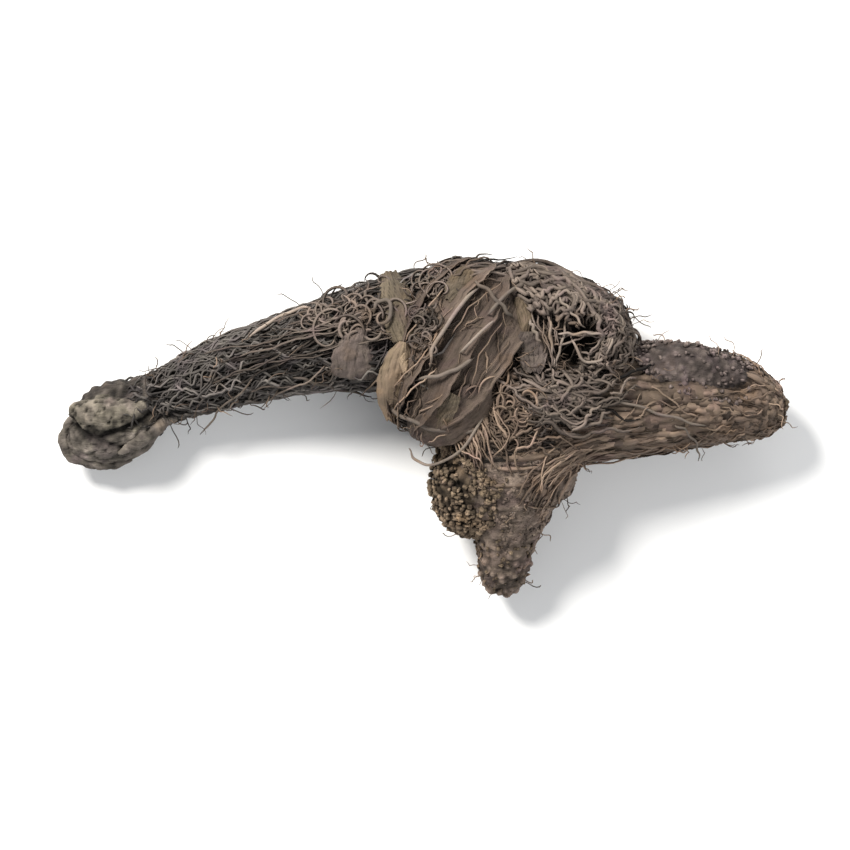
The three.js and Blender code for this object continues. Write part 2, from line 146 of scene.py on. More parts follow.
class Limb:
    """A stretch of the root, as a line with a width and a height at each share of it."""

    def __init__(self, stations, spread=0.0):
        self.stations = np.array(stations, float)
        self.spread = spread  # how far its bark reaches over the limbs beside it

    def middle(self, along):
        return smooth_curve(self.stations[:, :3], along)

    def size(self, along):
        return smooth_curve(self.stations[:, 3:], along)

    def frame(self, along):
        step = 1e-3
        ahead = unit(self.middle(np.minimum(along + step, 1)) - self.middle(np.maximum(along - step, 0)))
        side = unit(np.cross(np.array([0.0, 0.0, 1.0]), ahead))
        return ahead, side, np.cross(ahead, side)

    def out(self, along, angle):
        """The way out of the limb at a share of the length and an angle round it."""
        _, side, top = self.frame(along)
        return side * np.cos(angle)[..., None] + top * np.sin(angle)[..., None]

    def at(self, along, angle, lift=0.0):
        """Surface points at shares of the length and angles round it, raised by a lift."""
        along, angle = np.broadcast_arrays(np.asarray(along, float), np.asarray(angle, float))
        _, side, top = self.frame(along)
        size = self.size(along)
        return (self.middle(along)
                + side * ((size[..., 0] + lift) * np.cos(angle))[..., None]
                + top * ((size[..., 1] + lift) * np.sin(angle))[..., None])


left_arm, right_arm, stub, bud, nest = Limb(LEFT_ARM), Limb(RIGHT_ARM), Limb(STUB), Limb(BUD), Limb(NEST)
belly, shoulder, warts = Limb(BELLY), Limb(SHOULDER, 0.7), Limb(WARTS)
foot, heel, foot_face = Limb(FOOT), Limb(HEEL), Limb(FOOT_FACE)
LIMBS = [left_arm, right_arm, stub, bud, nest, belly, shoulder, warts, foot, heel, foot_face]


# Meshes

def new_object(name, points, faces, materials=(), tint=None, flow=None, looks=None):
    """A mesh object in metres from points in millimetres, with a shade and a place along the grain."""
    mesh = bpy.data.meshes.new(name)
    corners = faces.shape[1]
    mesh.vertices.add(len(points))
    mesh.vertices.foreach_set("co", (points * MM).astype(np.float32).ravel())
    mesh.loops.add(faces.size)
    mesh.loops.foreach_set("vertex_index", faces.astype(np.int32).ravel())
    mesh.polygons.add(len(faces))
    mesh.polygons.foreach_set("loop_start", np.arange(0, faces.size, corners, dtype=np.int32))
    mesh.update(calc_edges=True)
    for material in materials:
        mesh.materials.append(material)
    mesh.polygons.foreach_set("use_smooth", np.ones(len(faces), bool))
    if looks is not None:
        mesh.polygons.foreach_set("material_index", looks.astype(np.int32))
    if tint is not None:
        mesh.attributes.new("tint", "FLOAT", "POINT").data.foreach_set("value", tint.astype(np.float32))
        grain = mesh.attributes.new("flow", "FLOAT_VECTOR", "POINT")
        grain.data.foreach_set("vector", flow.astype(np.float32).ravel())
    made = bpy.data.objects.new(name, mesh)
    bpy.context.scene.collection.objects.link(made)
    return made


def piece(name, materials, parts, looks=None):
    """One object of parts, each points, faces, shades and places along the grain. It rides on the root."""
    starts = np.cumsum([0] + [len(part[0]) for part in parts])
    points = np.vstack([part[0] for part in parts])
    faces = np.vstack([part[1] + start for part, start in zip(parts, starts)])
    tint = np.clip(np.concatenate([part[2] for part in parts]), 0, 1)
    flow = np.vstack([part[3] if len(part) > 3 else part[0] for part in parts])
    made = new_object(name, points, faces, materials, tint, flow, looks)
    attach(made, "root")
    return made


def dress(name, look, seed, rows):
    """A piece of one look. Each row is a maker of parts and what it takes after the random source. The seed
    may be a source that another piece has drawn from, which then goes on."""
    rng = np.random.default_rng(seed)
    piece(name, [look], [make(rng, *given) for make, *given in rows])


def triangles_of(quads):
    return np.vstack([quads[:, [0, 1, 2]], quads[:, [0, 2, 3]]])


def ring_faces(rings, sides):
    """Triangles between rings of points, and over both end rings."""
    ring, side = np.meshgrid(np.arange(rings - 1), np.arange(sides), indexing="ij")
    here = ring * sides + side
    beside = ring * sides + (side + 1) % sides
    walls = triangles_of(np.stack([here, beside, beside + sides, here + sides], -1).reshape(-1, 4))
    cap = np.array([[0, k + 1, k] for k in range(1, sides - 1)])
    return np.vstack([walls, cap, cap[:, ::-1] + (rings - 1) * sides])


def tubes(rings):
    """Closed tubes through rings (tubes, rings of each, sides, 3): their points and triangles."""
    many, steps, sides, _ = rings.shape
    one = ring_faces(steps, sides)
    faces = one[None] + (np.arange(many) * steps * sides)[:, None, None]
    return rings.reshape(-1, 3), faces.reshape(-1, 3)


def evaluated(obj):
    """The points and triangles of an object once its modifiers are applied, in its own units."""
    mesh = obj.evaluated_get(bpy.context.evaluated_depsgraph_get()).to_mesh()
    mesh.calc_loop_triangles()
    points = np.zeros(len(mesh.vertices) * 3, np.float32)
    mesh.vertices.foreach_get("co", points)
    triangles = np.zeros(len(mesh.loop_triangles) * 3, np.int32)
    mesh.loop_triangles.foreach_get("vertices", triangles)
    return points.reshape(-1, 3).astype(float), triangles.reshape(-1, 3)


# Woody form: all the limbs melted into one body

SKIN_VOXEL = 0.2
SKIN_SMOOTHING = 5
FORM_RINGS = 60
FORM_SIDES = 48


def woody_form():
    """The limbs as one smooth closed mesh in millimetres: its points and triangles."""
    along = evenly(FORM_RINGS)[:, None]
    angle = np.arange(FORM_SIDES) * TURN / FORM_SIDES
    points, faces = tubes(np.stack([limb.at(along, angle) for limb in LIMBS]))
    form = new_object("form", points / MM, faces)
    melt = form.modifiers.new("melt", "REMESH")
    melt.mode = "VOXEL"
    melt.voxel_size = SKIN_VOXEL
    even = form.modifiers.new("even", "SMOOTH")
    even.factor = 0.5
    even.iterations = SKIN_SMOOTHING
    found = evaluated(form)
    bpy.data.objects.remove(form)
    return found


skin_points, skin_triangles = woody_form()
skin_tree = BVHTree.FromPolygons(skin_points.tolist(), skin_triangles.tolist())


def on_skin(points):
    """The nearest points of the skin and the way out there."""
    flat = points.reshape(-1, 3)
    near, out = np.empty_like(flat), np.empty_like(flat)
    for i, point in enumerate(flat):
        near[i], out[i] = skin_tree.find_nearest(Vector(point))[:2]
    return near.reshape(points.shape), out.reshape(points.shape)


AXIS_SAMPLES = 60
HOLLOW_MIDDLE = np.array([7.8, 2.1])
HOLLOW_HALF = np.array([2.6, 1.9])
HOLLOW_DEPTH = 3.6
HOLLOW_FLOOR = 7.0  # only what is above this height is part of the nest's hollow


def nearness(points, limb):
    """How far points lie out of a limb, the share along it where they are nearest, and the angle round it."""
    shares = evenly(AXIS_SAMPLES)
    along = shares[np.linalg.norm(points[:, None] - limb.middle(shares)[None], axis=2).argmin(1)]
    size = limb.size(along)
    off = points - limb.middle(along)
    ahead, across, up = ((off * way).sum(1) for way in limb.frame(along))
    reach = np.sqrt((across / size[:, 0]) ** 2 + (up / size[:, 1]) ** 2 + (ahead / size.mean(1)) ** 2)
    return (reach - 1) * size.mean(1) - limb.spread, along, np.arctan2(up, across)


def in_hollow(points):
    """1 for points in the middle of the nest's hollow, and down to 0 outside it."""
    away = np.linalg.norm((points[..., :2] - HOLLOW_MIDDLE) / HOLLOW_HALF, axis=-1)
    return np.where(points[..., 2] > HOLLOW_FLOOR, np.exp(-away**4), 0)


def groove(points, route, width):
    """1 for points on the line of a route seen from above, and down to 0 at either side of it."""
    line = smooth_curve(route, evenly(AXIS_SAMPLES))
    gap = np.linalg.norm(points[:, None, :2] - line[None], axis=2).min(1)
    return np.exp(-(gap / width) ** 2)


def noise_at(points, cell, octaves=1, offset=0.0):
    """Smooth noise from -1 to 1 at points in millimetres, with the size of its cells in millimetres."""
    shift = Vector((offset, offset * 0.7, -offset))
    values = np.empty(len(points))
    for i, point in enumerate(points):
        place = Vector(point) / cell + shift
        total, part = 0.0, 1.0
        for _ in range(octaves):
            total += part * noise.noise(place)
            place, part = place * 2.1, part * 0.5
        values[i] = total
    return values


def beads(points, cell, width, offset=0.0):
    """Round bumps, one in each cell of the given size: 1 on top of each and 0 between them."""
    shift = Vector((offset, -offset, offset))
    gap = np.array([noise.voronoi(Vector(point) / cell + shift)[0][0] for point in points])
    return np.clip(1 - (gap / width) ** 2, 0, 1)


def wrinkles(points):
    """1 in the thin wrinkles of a surface that dried out, and 0 between them."""
    return np.clip(1 - 7 * np.abs(noise_at(points * [0.7, 1.0, 1.4], 1.5, 2, 23.0)), 0, 1)


# Strands: thin tubes, many at a time

STRAND_WAVES = ((1.3, 1.0), (3.1, 0.42), (7.3, 0.13))  # waves in a strand, and their part of its waver
ROOT_DEPTH = 0.5  # how far a strand's ends are sunk
PATH_ENDS = (0.02, 0.985)  # paths stay between these shares of a limb


def draw(rng, span, count):
    """Even draws from low to high, as a column."""
    return rng.uniform(span[0], span[1], (count, 1))


def wave(rng, count, waves, share):
    """Waves along each of many strands, each begun anywhere in its wave."""
    return np.sin(TURN * (waves * share + draw(rng, (0, 1), count)))


def near_ends(share, quick):
    """1 at both ends of a strand, and down to 0 at a share of 1 / quick from them."""
    return np.clip(1 - quick * np.minimum(share, 1 - share), 0, 1)


def taper(steps, ends, quick):
    """A strand's thickness along it, from its ends' share up to 1."""
    share = evenly(steps)
    return ends + (1 - ends) * np.minimum(1, quick * np.minimum(share, 1 - share))


def shades(rng, shade, level, points_each):
    # A strand's tone runs with its level, with a random spread. Most makers also lift a strand by its level,
    # so lower strands come out darker: painted shade among the fibres.
    return np.repeat(between(shade, level.ravel()) + rng.normal(0, 0.1, len(level)), points_each)


def strands(rng, lines, radius, shade, level, sides=3, ends=0.35):
    """Strands along lines (strands, points, 3), thinner at both ends. A strand's level sets its shade."""
    many, steps, _ = lines.shape
    radii = draw(rng, radius, many) * taper(steps, ends, 5)
    lines[..., 2] = np.maximum(lines[..., 2], radii)
    ahead = unit(np.gradient(lines, axis=1))
    across = np.empty_like(lines)
    upright = np.abs(ahead[:, 0, 2:]) > 0.9
    across[:, 0] = unit(np.cross(np.where(upright, [[1.0, 0.0, 0.0]], [[0.0, 0.0, 1.0]]), ahead[:, 0]))
    for k in range(1, steps):
        turned = (across[:, k - 1] * ahead[:, k]).sum(1, keepdims=True)
        across[:, k] = unit(across[:, k - 1] - turned * ahead[:, k])
    angle = (np.arange(sides) * TURN / sides)[None, None, :, None]
    ring = across[:, :, None] * np.cos(angle) + np.cross(ahead, across)[:, :, None] * np.sin(angle)
    points, faces = tubes(lines[:, :, None] + ring * radii[:, :, None, None])
    return points, faces, shades(rng, shade, level, steps * sides)


def ribbons(rng, lines, out, width, thickness, shade, level):
    """Flat straws along lines, each as wide as drawn, lying with their backs to the skin."""
    many, steps, _ = lines.shape
    half = draw(rng, width, many) / 2 * taper(steps, 0.2, 6)
    side = unit(np.cross(out, unit(np.gradient(lines, axis=1)))) * half[..., None]
    thick = out * thickness / 2
    rings = np.stack([lines + side, lines + thick, lines - side, lines - thick], 2)
    rings[..., 2] = np.maximum(rings[..., 2], 0)
    points, faces = tubes(rings)
    return points, faces, shades(rng, shade, level, steps * 4)


def waved(rng, count, steps, waver):
    """A sum of waves along each of many strands."""
    return sum(waver * part * wave(rng, count, waves, evenly(steps)) for waves, part in STRAND_WAVES)


def limb_paths(rng, count, start, reach, angles, drift, waver, steps=16):
    """Paths that run along a limb: shares of its length, and angles round it."""
    share = evenly(steps)
    along = np.clip(draw(rng, start, count) + draw(rng, reach, count) * share, *PATH_ENDS)
    angle = draw(rng, angles, count) + draw(rng, (-drift, drift), count) * (share - 0.5)
    return along, angle + waved(rng, count, steps, waver)


def net_paths(rng, count, cells, start, reach, steps=30):
    """Paths set evenly round a limb, which sway to one neighbour and then to the other, as a net does."""
    along = np.clip(draw(rng, start, count) + draw(rng, reach, count) * evenly(steps), *PATH_ENDS)
    base = TURN * np.arange(count)[:, None] / count
    phase = math.pi * np.arange(count)[:, None] + draw(rng, (-0.7, 0.7), count)
    sway = TURN / count * draw(rng, (0.5, 1.1), count)
    slow = 0.30 * np.sin(TURN * 1.2 * along + 2 * base) + 0.10 * np.sin(TURN * 3.3 * along + 3 * base)
    return along, base + slow + sway * np.sin(TURN * cells * along + phase)


def raised(rng, limb, paths, lift, level):
    """Lines on the skin along paths, higher for a higher level and sunk at both ends, and the way out."""
    near, out = on_skin(limb.at(*paths))
    share = evenly(near.shape[1])
    arch = np.sin(math.pi * share).clip(0) ** 0.4
    rise = between(lift, level) * arch - ROOT_DEPTH * (1 - arch)
    rise = rise + 0.08 * arch * wave(rng, len(near), 3, share)
    lines = near + out * rise[..., None]
    lines[..., 2] -= HOLLOW_DEPTH * in_hollow(lines)
    return lines, out


def clear_of(lines, limb, others):
    """Which lines lie on a limb all along, and not on others that grow out of it."""
    places = lines[:, lines.shape[1] // 6::lines.shape[1] // 6]
    flat = places.reshape(-1, 3)
    clear = np.ones(len(flat), bool)
    for other in others:
        clear &= nearness(flat, limb)[0] < nearness(flat, other)[0]
    return clear.reshape(places.shape[:2]).all(1)


def along_limb(rng, limb, paths, lift, shade, radius, others=()):
    """Strands along paths on a limb, apart from those that would lie on the others."""
    level = draw(rng, (0, 1), len(paths[0]))
    # The level sets both lift and shade, so lower strands are darker: painted shade.
    lines, _ = raised(rng, limb, paths, lift, level)
    clear = clear_of(lines, limb, others)
    return strands(rng, lines[clear], radius, shade, level[clear])


def coat(rng, limb, count, start, reach, drift, waver, lift, shade, radius, angles=ALL_ROUND, others=()):
    """Strands that run along a limb, each over a part of its length."""
    paths = limb_paths(rng, count, start, reach, angles, drift, waver)
    return along_limb(rng, limb, paths, lift, shade, radius, others)


ABOVE_ALL = 40.0


def height_above(flat):
    """The skin's height under each point (x, y), and whether there is any skin there."""
    points = flat.reshape(-1, 2)
    height, there = np.zeros(len(points)), np.zeros(len(points), bool)
    for i, (x, y) in enumerate(points):
        place = skin_tree.ray_cast(Vector((x, y, ABOVE_ALL)), Vector((0, 0, -1)))[0]
        if place is not None:
            height[i], there[i] = place.z, True
    return height.reshape(flat.shape[:-1]), there.reshape(flat.shape[:-1])


FALL = 0.6  # how steeply a strand falls away once it is past the skin


def bridged(flat, into_hollow=True):
    """The skin's height along rows of points, and the share of each row that is over skin. Past the skin's
    edge the height falls away gently."""
    height, there = height_above(flat)
    steps = flat.shape[1]
    drop = FALL * np.linalg.norm(np.diff(flat, axis=1), axis=2)
    for k in range(1, steps):
        height[:, k] = np.where(there[:, k], height[:, k], height[:, k - 1] - drop[:, k - 1])
    for k in range(steps - 2, -1, -1):
        reached = np.maximum(height[:, k], height[:, k + 1] - drop[:, k])
        height[:, k] = np.where(there[:, k], height[:, k], reached)
    for _ in range(3):
        height[:, 1:-1] = (height[:, :-2] + 2 * height[:, 1:-1] + height[:, 2:]) / 4
    if into_hollow:
        height = height - HOLLOW_DEPTH * in_hollow(np.concatenate([flat, height[..., None]], -1))
    return height, there.mean(1)


OVER_SKIN = 0.7  # a laid strand is left out if less of it than this share is over the skin
LAID_SUNK = 0.9  # how deep a laid strand's ends are sunk


def laid(rng, flat, lift, radius, shade, level, into_hollow=True):
    """Strands over the skin above flat routes, sunk at both ends."""
    height, over = bridged(flat, into_hollow)
    dip = near_ends(evenly(flat.shape[1]), 9)
    lines = np.concatenate([flat, (height + lift - LAID_SUNK * dip)[..., None]], -1)
    kept = over > OVER_SKIN
    return strands(rng, lines[kept], radius, shade, level[kept])


def swept(rng, template, count, spread, fan, waver, window, lift, shade, radius, into_hollow=True, steps=26):
    """Strands laid near a template of points (x, y): each is shifted, turned and cut to a part of it."""
    template = np.asarray(template, float)
    turn = rng.normal(0, 1, count) * math.radians(fan)
    shift = rng.normal(0, spread, (count, 2))
    bend = rng.normal(0, spread * 0.3, (count, len(template), 2))
    first = rng.uniform(0, 1 - window, count)
    length = rng.uniform(0.55, 1.0, count) * window
    flat = np.empty((count, steps, 2))
    centre = template.mean(0)
    for i in range(count):
        spin = np.array([[math.cos(turn[i]), math.sin(turn[i])], [-math.sin(turn[i]), math.cos(turn[i])]])
        route = (template - centre) @ spin + centre + shift[i] + bend[i]
        flat[i] = smooth_curve(route, first[i] + length[i] * evenly(steps))
    for axis in range(2):
        flat[..., axis] += waved(rng, count, steps, waver)
    level = draw(rng, (0, 1), count)
    # The level sets both lift and shade, so lower strands are darker: painted shade.
    return laid(rng, flat, between(lift, level), radius, shade, level, into_hollow)


def curls(rng, count, centre, region, size, lift, shade, radius, steps=28):
    """Strands in uneven curls of about one turn, with their middles inside an oval region."""
    share = evenly(steps)
    turn, far = draw(rng, (0, TURN), count), np.sqrt(draw(rng, (0, 1), count))
    middle = np.array(centre) + np.array(region) * np.hstack([far * np.cos(turn), far * np.sin(turn)])
    big = draw(rng, size, count)
    small = big * draw(rng, (0.15, 0.5), count)
    hand = np.where(rng.uniform(0, 1, (count, 1)) < 0.5, -1, 1)
    angle = draw(rng, (0, TURN), count) + hand * draw(rng, (0.35, 0.85), count) * TURN * share
    second = angle * draw(rng, (1.6, 2.8), count) + draw(rng, (0, TURN), count)
    squash = draw(rng, (0.5, 1.0), count)
    x = big * np.cos(angle) + small * np.cos(second) + draw(rng, (-1, 1), count) * big * share
    y = squash * big * np.sin(angle) + small * np.sin(second) + draw(rng, (-1, 1), count) * big * share
    lean = draw(rng, (0, TURN), count)
    flat = np.stack([x * np.cos(lean) - y * np.sin(lean), x * np.sin(lean) + y * np.cos(lean)], -1)
    level = draw(rng, (0, 1), count)
    # The level sets both lift and shade, so lower curls are darker: painted shade.
    rise = between(lift, level) + 0.35 * big * np.sin(angle + lean)
    return laid(rng, flat + middle[:, None], np.maximum(rise, -0.1), radius, shade, level)


# Materials

def new_material(name, roughness):
    material = bpy.data.materials.new(name)
    material.use_nodes = True
    shader = material.node_tree.nodes["Principled BSDF"]
    shader.inputs["Specular IOR Level"].default_value = 0.2
    shader.inputs["Roughness"].default_value = roughness
    return material, material.node_tree, shader


def ramp_of(tree, stops):
    node = tree.nodes.new("ShaderNodeValToRGB")
    ramp = node.color_ramp
    while len(ramp.elements) < len(stops):
        ramp.elements.new(0.5)
    for element, (place, colour) in zip(ramp.elements, stops):
        element.position = place
        element.color = (*colour, 1)
    return node


def noise_node(tree, vector, scale, detail=4.0):
    made = tree.nodes.new("ShaderNodeTexNoise")
    made.inputs["Scale"].default_value = scale
    made.inputs["Detail"].default_value = detail
    made.inputs["Roughness"].default_value = 0.65
    tree.links.new(vector, made.inputs["Vector"])
    return made.outputs["Fac"]


def math_node(tree, operation, first, second):
    node = tree.nodes.new("ShaderNodeMath")
    node.operation = operation
    for socket, value in zip(node.inputs, (first, second)):
        if isinstance(value, (int, float)):
            socket.default_value = value
        else:
            tree.links.new(value, socket)
    return node.outputs[0]


PATCH_GRAIN = 330  # cells to the metre of the patches where every surface leans to another hue
PATCHES = [(0.30, (1.0, 0.91, 0.78)), (0.43, (1.0, 0.97, 0.94)), (0.55, (0.98, 0.97, 0.89)),
           (0.63, (1.0, 0.95, 0.95)), (0.75, (1.0, 0.90, 0.92))]


def dried(name, hue, levels, roughness, grain=900, grain_share=0.35, streak_share=0.2, bump=0.00005):
    """A matt dry surface. Its colour runs from dark to pale by each point's shade, broken up by grain of so
    many cells to the metre and by streaks along the way that the piece grew. hue is green and blue for
    each 1 of red, and levels are red at four even shades."""
    material, tree, shader = new_material(name, roughness)
    tint = tree.nodes.new("ShaderNodeAttribute")
    tint.attribute_name = "tint"
    flow = tree.nodes.new("ShaderNodeAttribute")
    flow.attribute_name = "flow"
    stretch = tree.nodes.new("ShaderNodeVectorMath")
    stretch.operation = "MULTIPLY"
    stretch.inputs[1].default_value = (0.5, 5.0, 5.0)
    tree.links.new(flow.outputs["Vector"], stretch.inputs[0])
    place = tree.nodes.new("ShaderNodeTexCoord")
    speckle = noise_node(tree, place.outputs["Object"], grain)
    streak = noise_node(tree, stretch.outputs[0], 1.0)
    total = tint.outputs["Fac"]
    for value, share in ((speckle, grain_share), (streak, streak_share)):
        centred = math_node(tree, "SUBTRACT", value, 0.5)
        total = math_node(tree, "ADD", total, math_node(tree, "MULTIPLY", centred, share))
    stops = [(place_of, (level, level * hue[0], level * hue[1]))
             for place_of, level in zip((0.0, 0.35, 0.7, 1.0), levels)]
    colours = ramp_of(tree, stops)
    tree.links.new(total, colours.inputs["Fac"])
    patches = ramp_of(tree, PATCHES)
    tree.links.new(noise_node(tree, place.outputs["Object"], PATCH_GRAIN, 2.0), patches.inputs["Fac"])
    tinted = tree.nodes.new("ShaderNodeMix")
    tinted.data_type = "RGBA"
    tinted.blend_type = "MULTIPLY"
    tinted.inputs[0].default_value = 1.0
    tree.links.new(colours.outputs["Color"], tinted.inputs[6])
    tree.links.new(patches.outputs["Color"], tinted.inputs[7])
    tree.links.new(tinted.outputs[2], shader.inputs["Base Color"])
    rough = math_node(tree, "ADD", streak, noise_node(tree, place.outputs["Object"], grain * 3))
    relief = tree.nodes.new("ShaderNodeBump")
    relief.inputs["Distance"].default_value = bump
    relief.inputs["Strength"].default_value = 0.8
    tree.links.new(rough, relief.inputs["Height"])
    tree.links.new(relief.outputs["Normal"], shader.inputs["Normal"])
    return material


GREY_HUE = (0.90, 0.85)
BROWN_HUE = (0.80, 0.69)
STRAW_HUE = (0.73, 0.56)
TAN_HUE = (0.75, 0.53)
PURPLE_HUE = (0.80, 0.75)
FIBRE_LEVELS = (0.006, 0.030, 0.090, 0.190)
grey_fibre = dried("grey_fibre", GREY_HUE, FIBRE_LEVELS, 0.78)
brown_fibre = dried("brown_fibre", BROWN_HUE, FIBRE_LEVELS, 0.78)
straw_fibre = dried("straw_fibre", STRAW_HUE, (0.020, 0.075, 0.170, 0.330), 0.72)
root_look = dried("long_root", (0.82, 0.70), (0.020, 0.070, 0.160, 0.310), 0.72)
bark_look = dried("bark", BROWN_HUE, (0.005, 0.018, 0.050, 0.120), 0.92, 700, 0.6, 0.5, 0.0002)
straw_bark = dried("straw_bark", STRAW_HUE, (0.014, 0.050, 0.120, 0.230), 0.9, 700, 0.5, 0.6, 0.0002)
papery_look = dried("papery_bark", (0.77, 0.64), (0.030, 0.100, 0.210, 0.350), 0.9, 1200, 0.6, 0.6, 0.0002)
crust_look = dried("crust", TAN_HUE, (0.012, 0.060, 0.160, 0.300), 0.92, 900, 0.5, 0.1, 0.0002)
lobe_look = dried("purple_crust", PURPLE_HUE, (0.016, 0.060, 0.130, 0.240), 0.92, 1100, 0.5, 0.1, 0.0002)
foot_look = dried("foot_skin", (0.87, 0.77), (0.016, 0.062, 0.150, 0.290), 0.9, 1100, 0.5, 0.2, 0.0002)
heel_look = dried("heel_bark", (0.85, 0.76), (0.012, 0.045, 0.110, 0.200), 0.92, 900, 0.5, 0.3, 0.0002)
face_look = dried("cut_face", (0.88, 0.73), (0.012, 0.055, 0.145, 0.270), 0.92, 1300, 0.5, 0.1, 0.0002)
sheath_look = dried("sheath", (0.75, 0.61), (0.012, 0.048, 0.110, 0.195), 0.85, 900, 0.4, 0.6, 0.00015)
grey_look = dried("grey_scale", (0.80, 0.71), (0.012, 0.055, 0.135, 0.250), 0.85, 900, 0.4, 0.6, 0.00015)
olive_look = dried("olive_scale", (0.80, 0.58), (0.015, 0.060, 0.150, 0.280), 0.85, 900, 0.4, 0.6, 0.00015)
tan_look = dried("tan_scale", (0.75, 0.53), (0.03, 0.110, 0.230, 0.400), 0.75, 900, 0.3, 0.6, 0.0001)


# The woody skin itself: ridges on the arms, paper on the stub, warts, and a pitted face with a lip

SKIN_SINK = 0.35  # the skin lies this far under the fibres' own surface
BLEND_ROUNDS = 6
CREVICE = [(-35.9, -4.2), (-34.7, -5.6), (-33.5, -5.8), (-31.9, -5.3), (-30.9, -5.0), (-29.8, -4.5),
           (-28.7, -3.7)]
FOLD = [(-33.4, -6.0), (-32.5, -6.5), (-31.5, -6.8), (-30.2, -6.7)]  # between the foot's two lips
# CREVICE_SHADE is the width of a band of painted shade round the crevice.
CREVICE_WIDTH, CREVICE_DEPTH, CREVICE_SHADE = 0.24, 0.55, 0.8
FOLD_WIDTH, FOLD_DEPTH = 0.26, 0.40
UPPER_SIDE = 3  # the crevice and the fold are only above this height
PITS_FROM = -30.4  # the cut face is pitted from here to its end


def point_normals(points, triangles):
    first, second, third = (points[triangles[:, k]] for k in range(3))
    normals = np.cross(second - first, third - first)
    out = np.zeros_like(points)
    for corner in range(3):
        np.add.at(out, triangles[:, corner], normals)
    return unit(out)


def evened(values, rounds):
    """Values at the skin's points, each mixed with those of its neighbours a few times over."""
    begin = np.concatenate([skin_triangles[:, k] for k in (0, 1, 2)])
    finish = np.concatenate([skin_triangles[:, k] for k in (1, 2, 0)])
    links = np.bincount(begin, minlength=len(values))
    for _ in range(rounds):
        values = (values + np.bincount(begin, values[finish], len(values)) / links) / 2
    return values


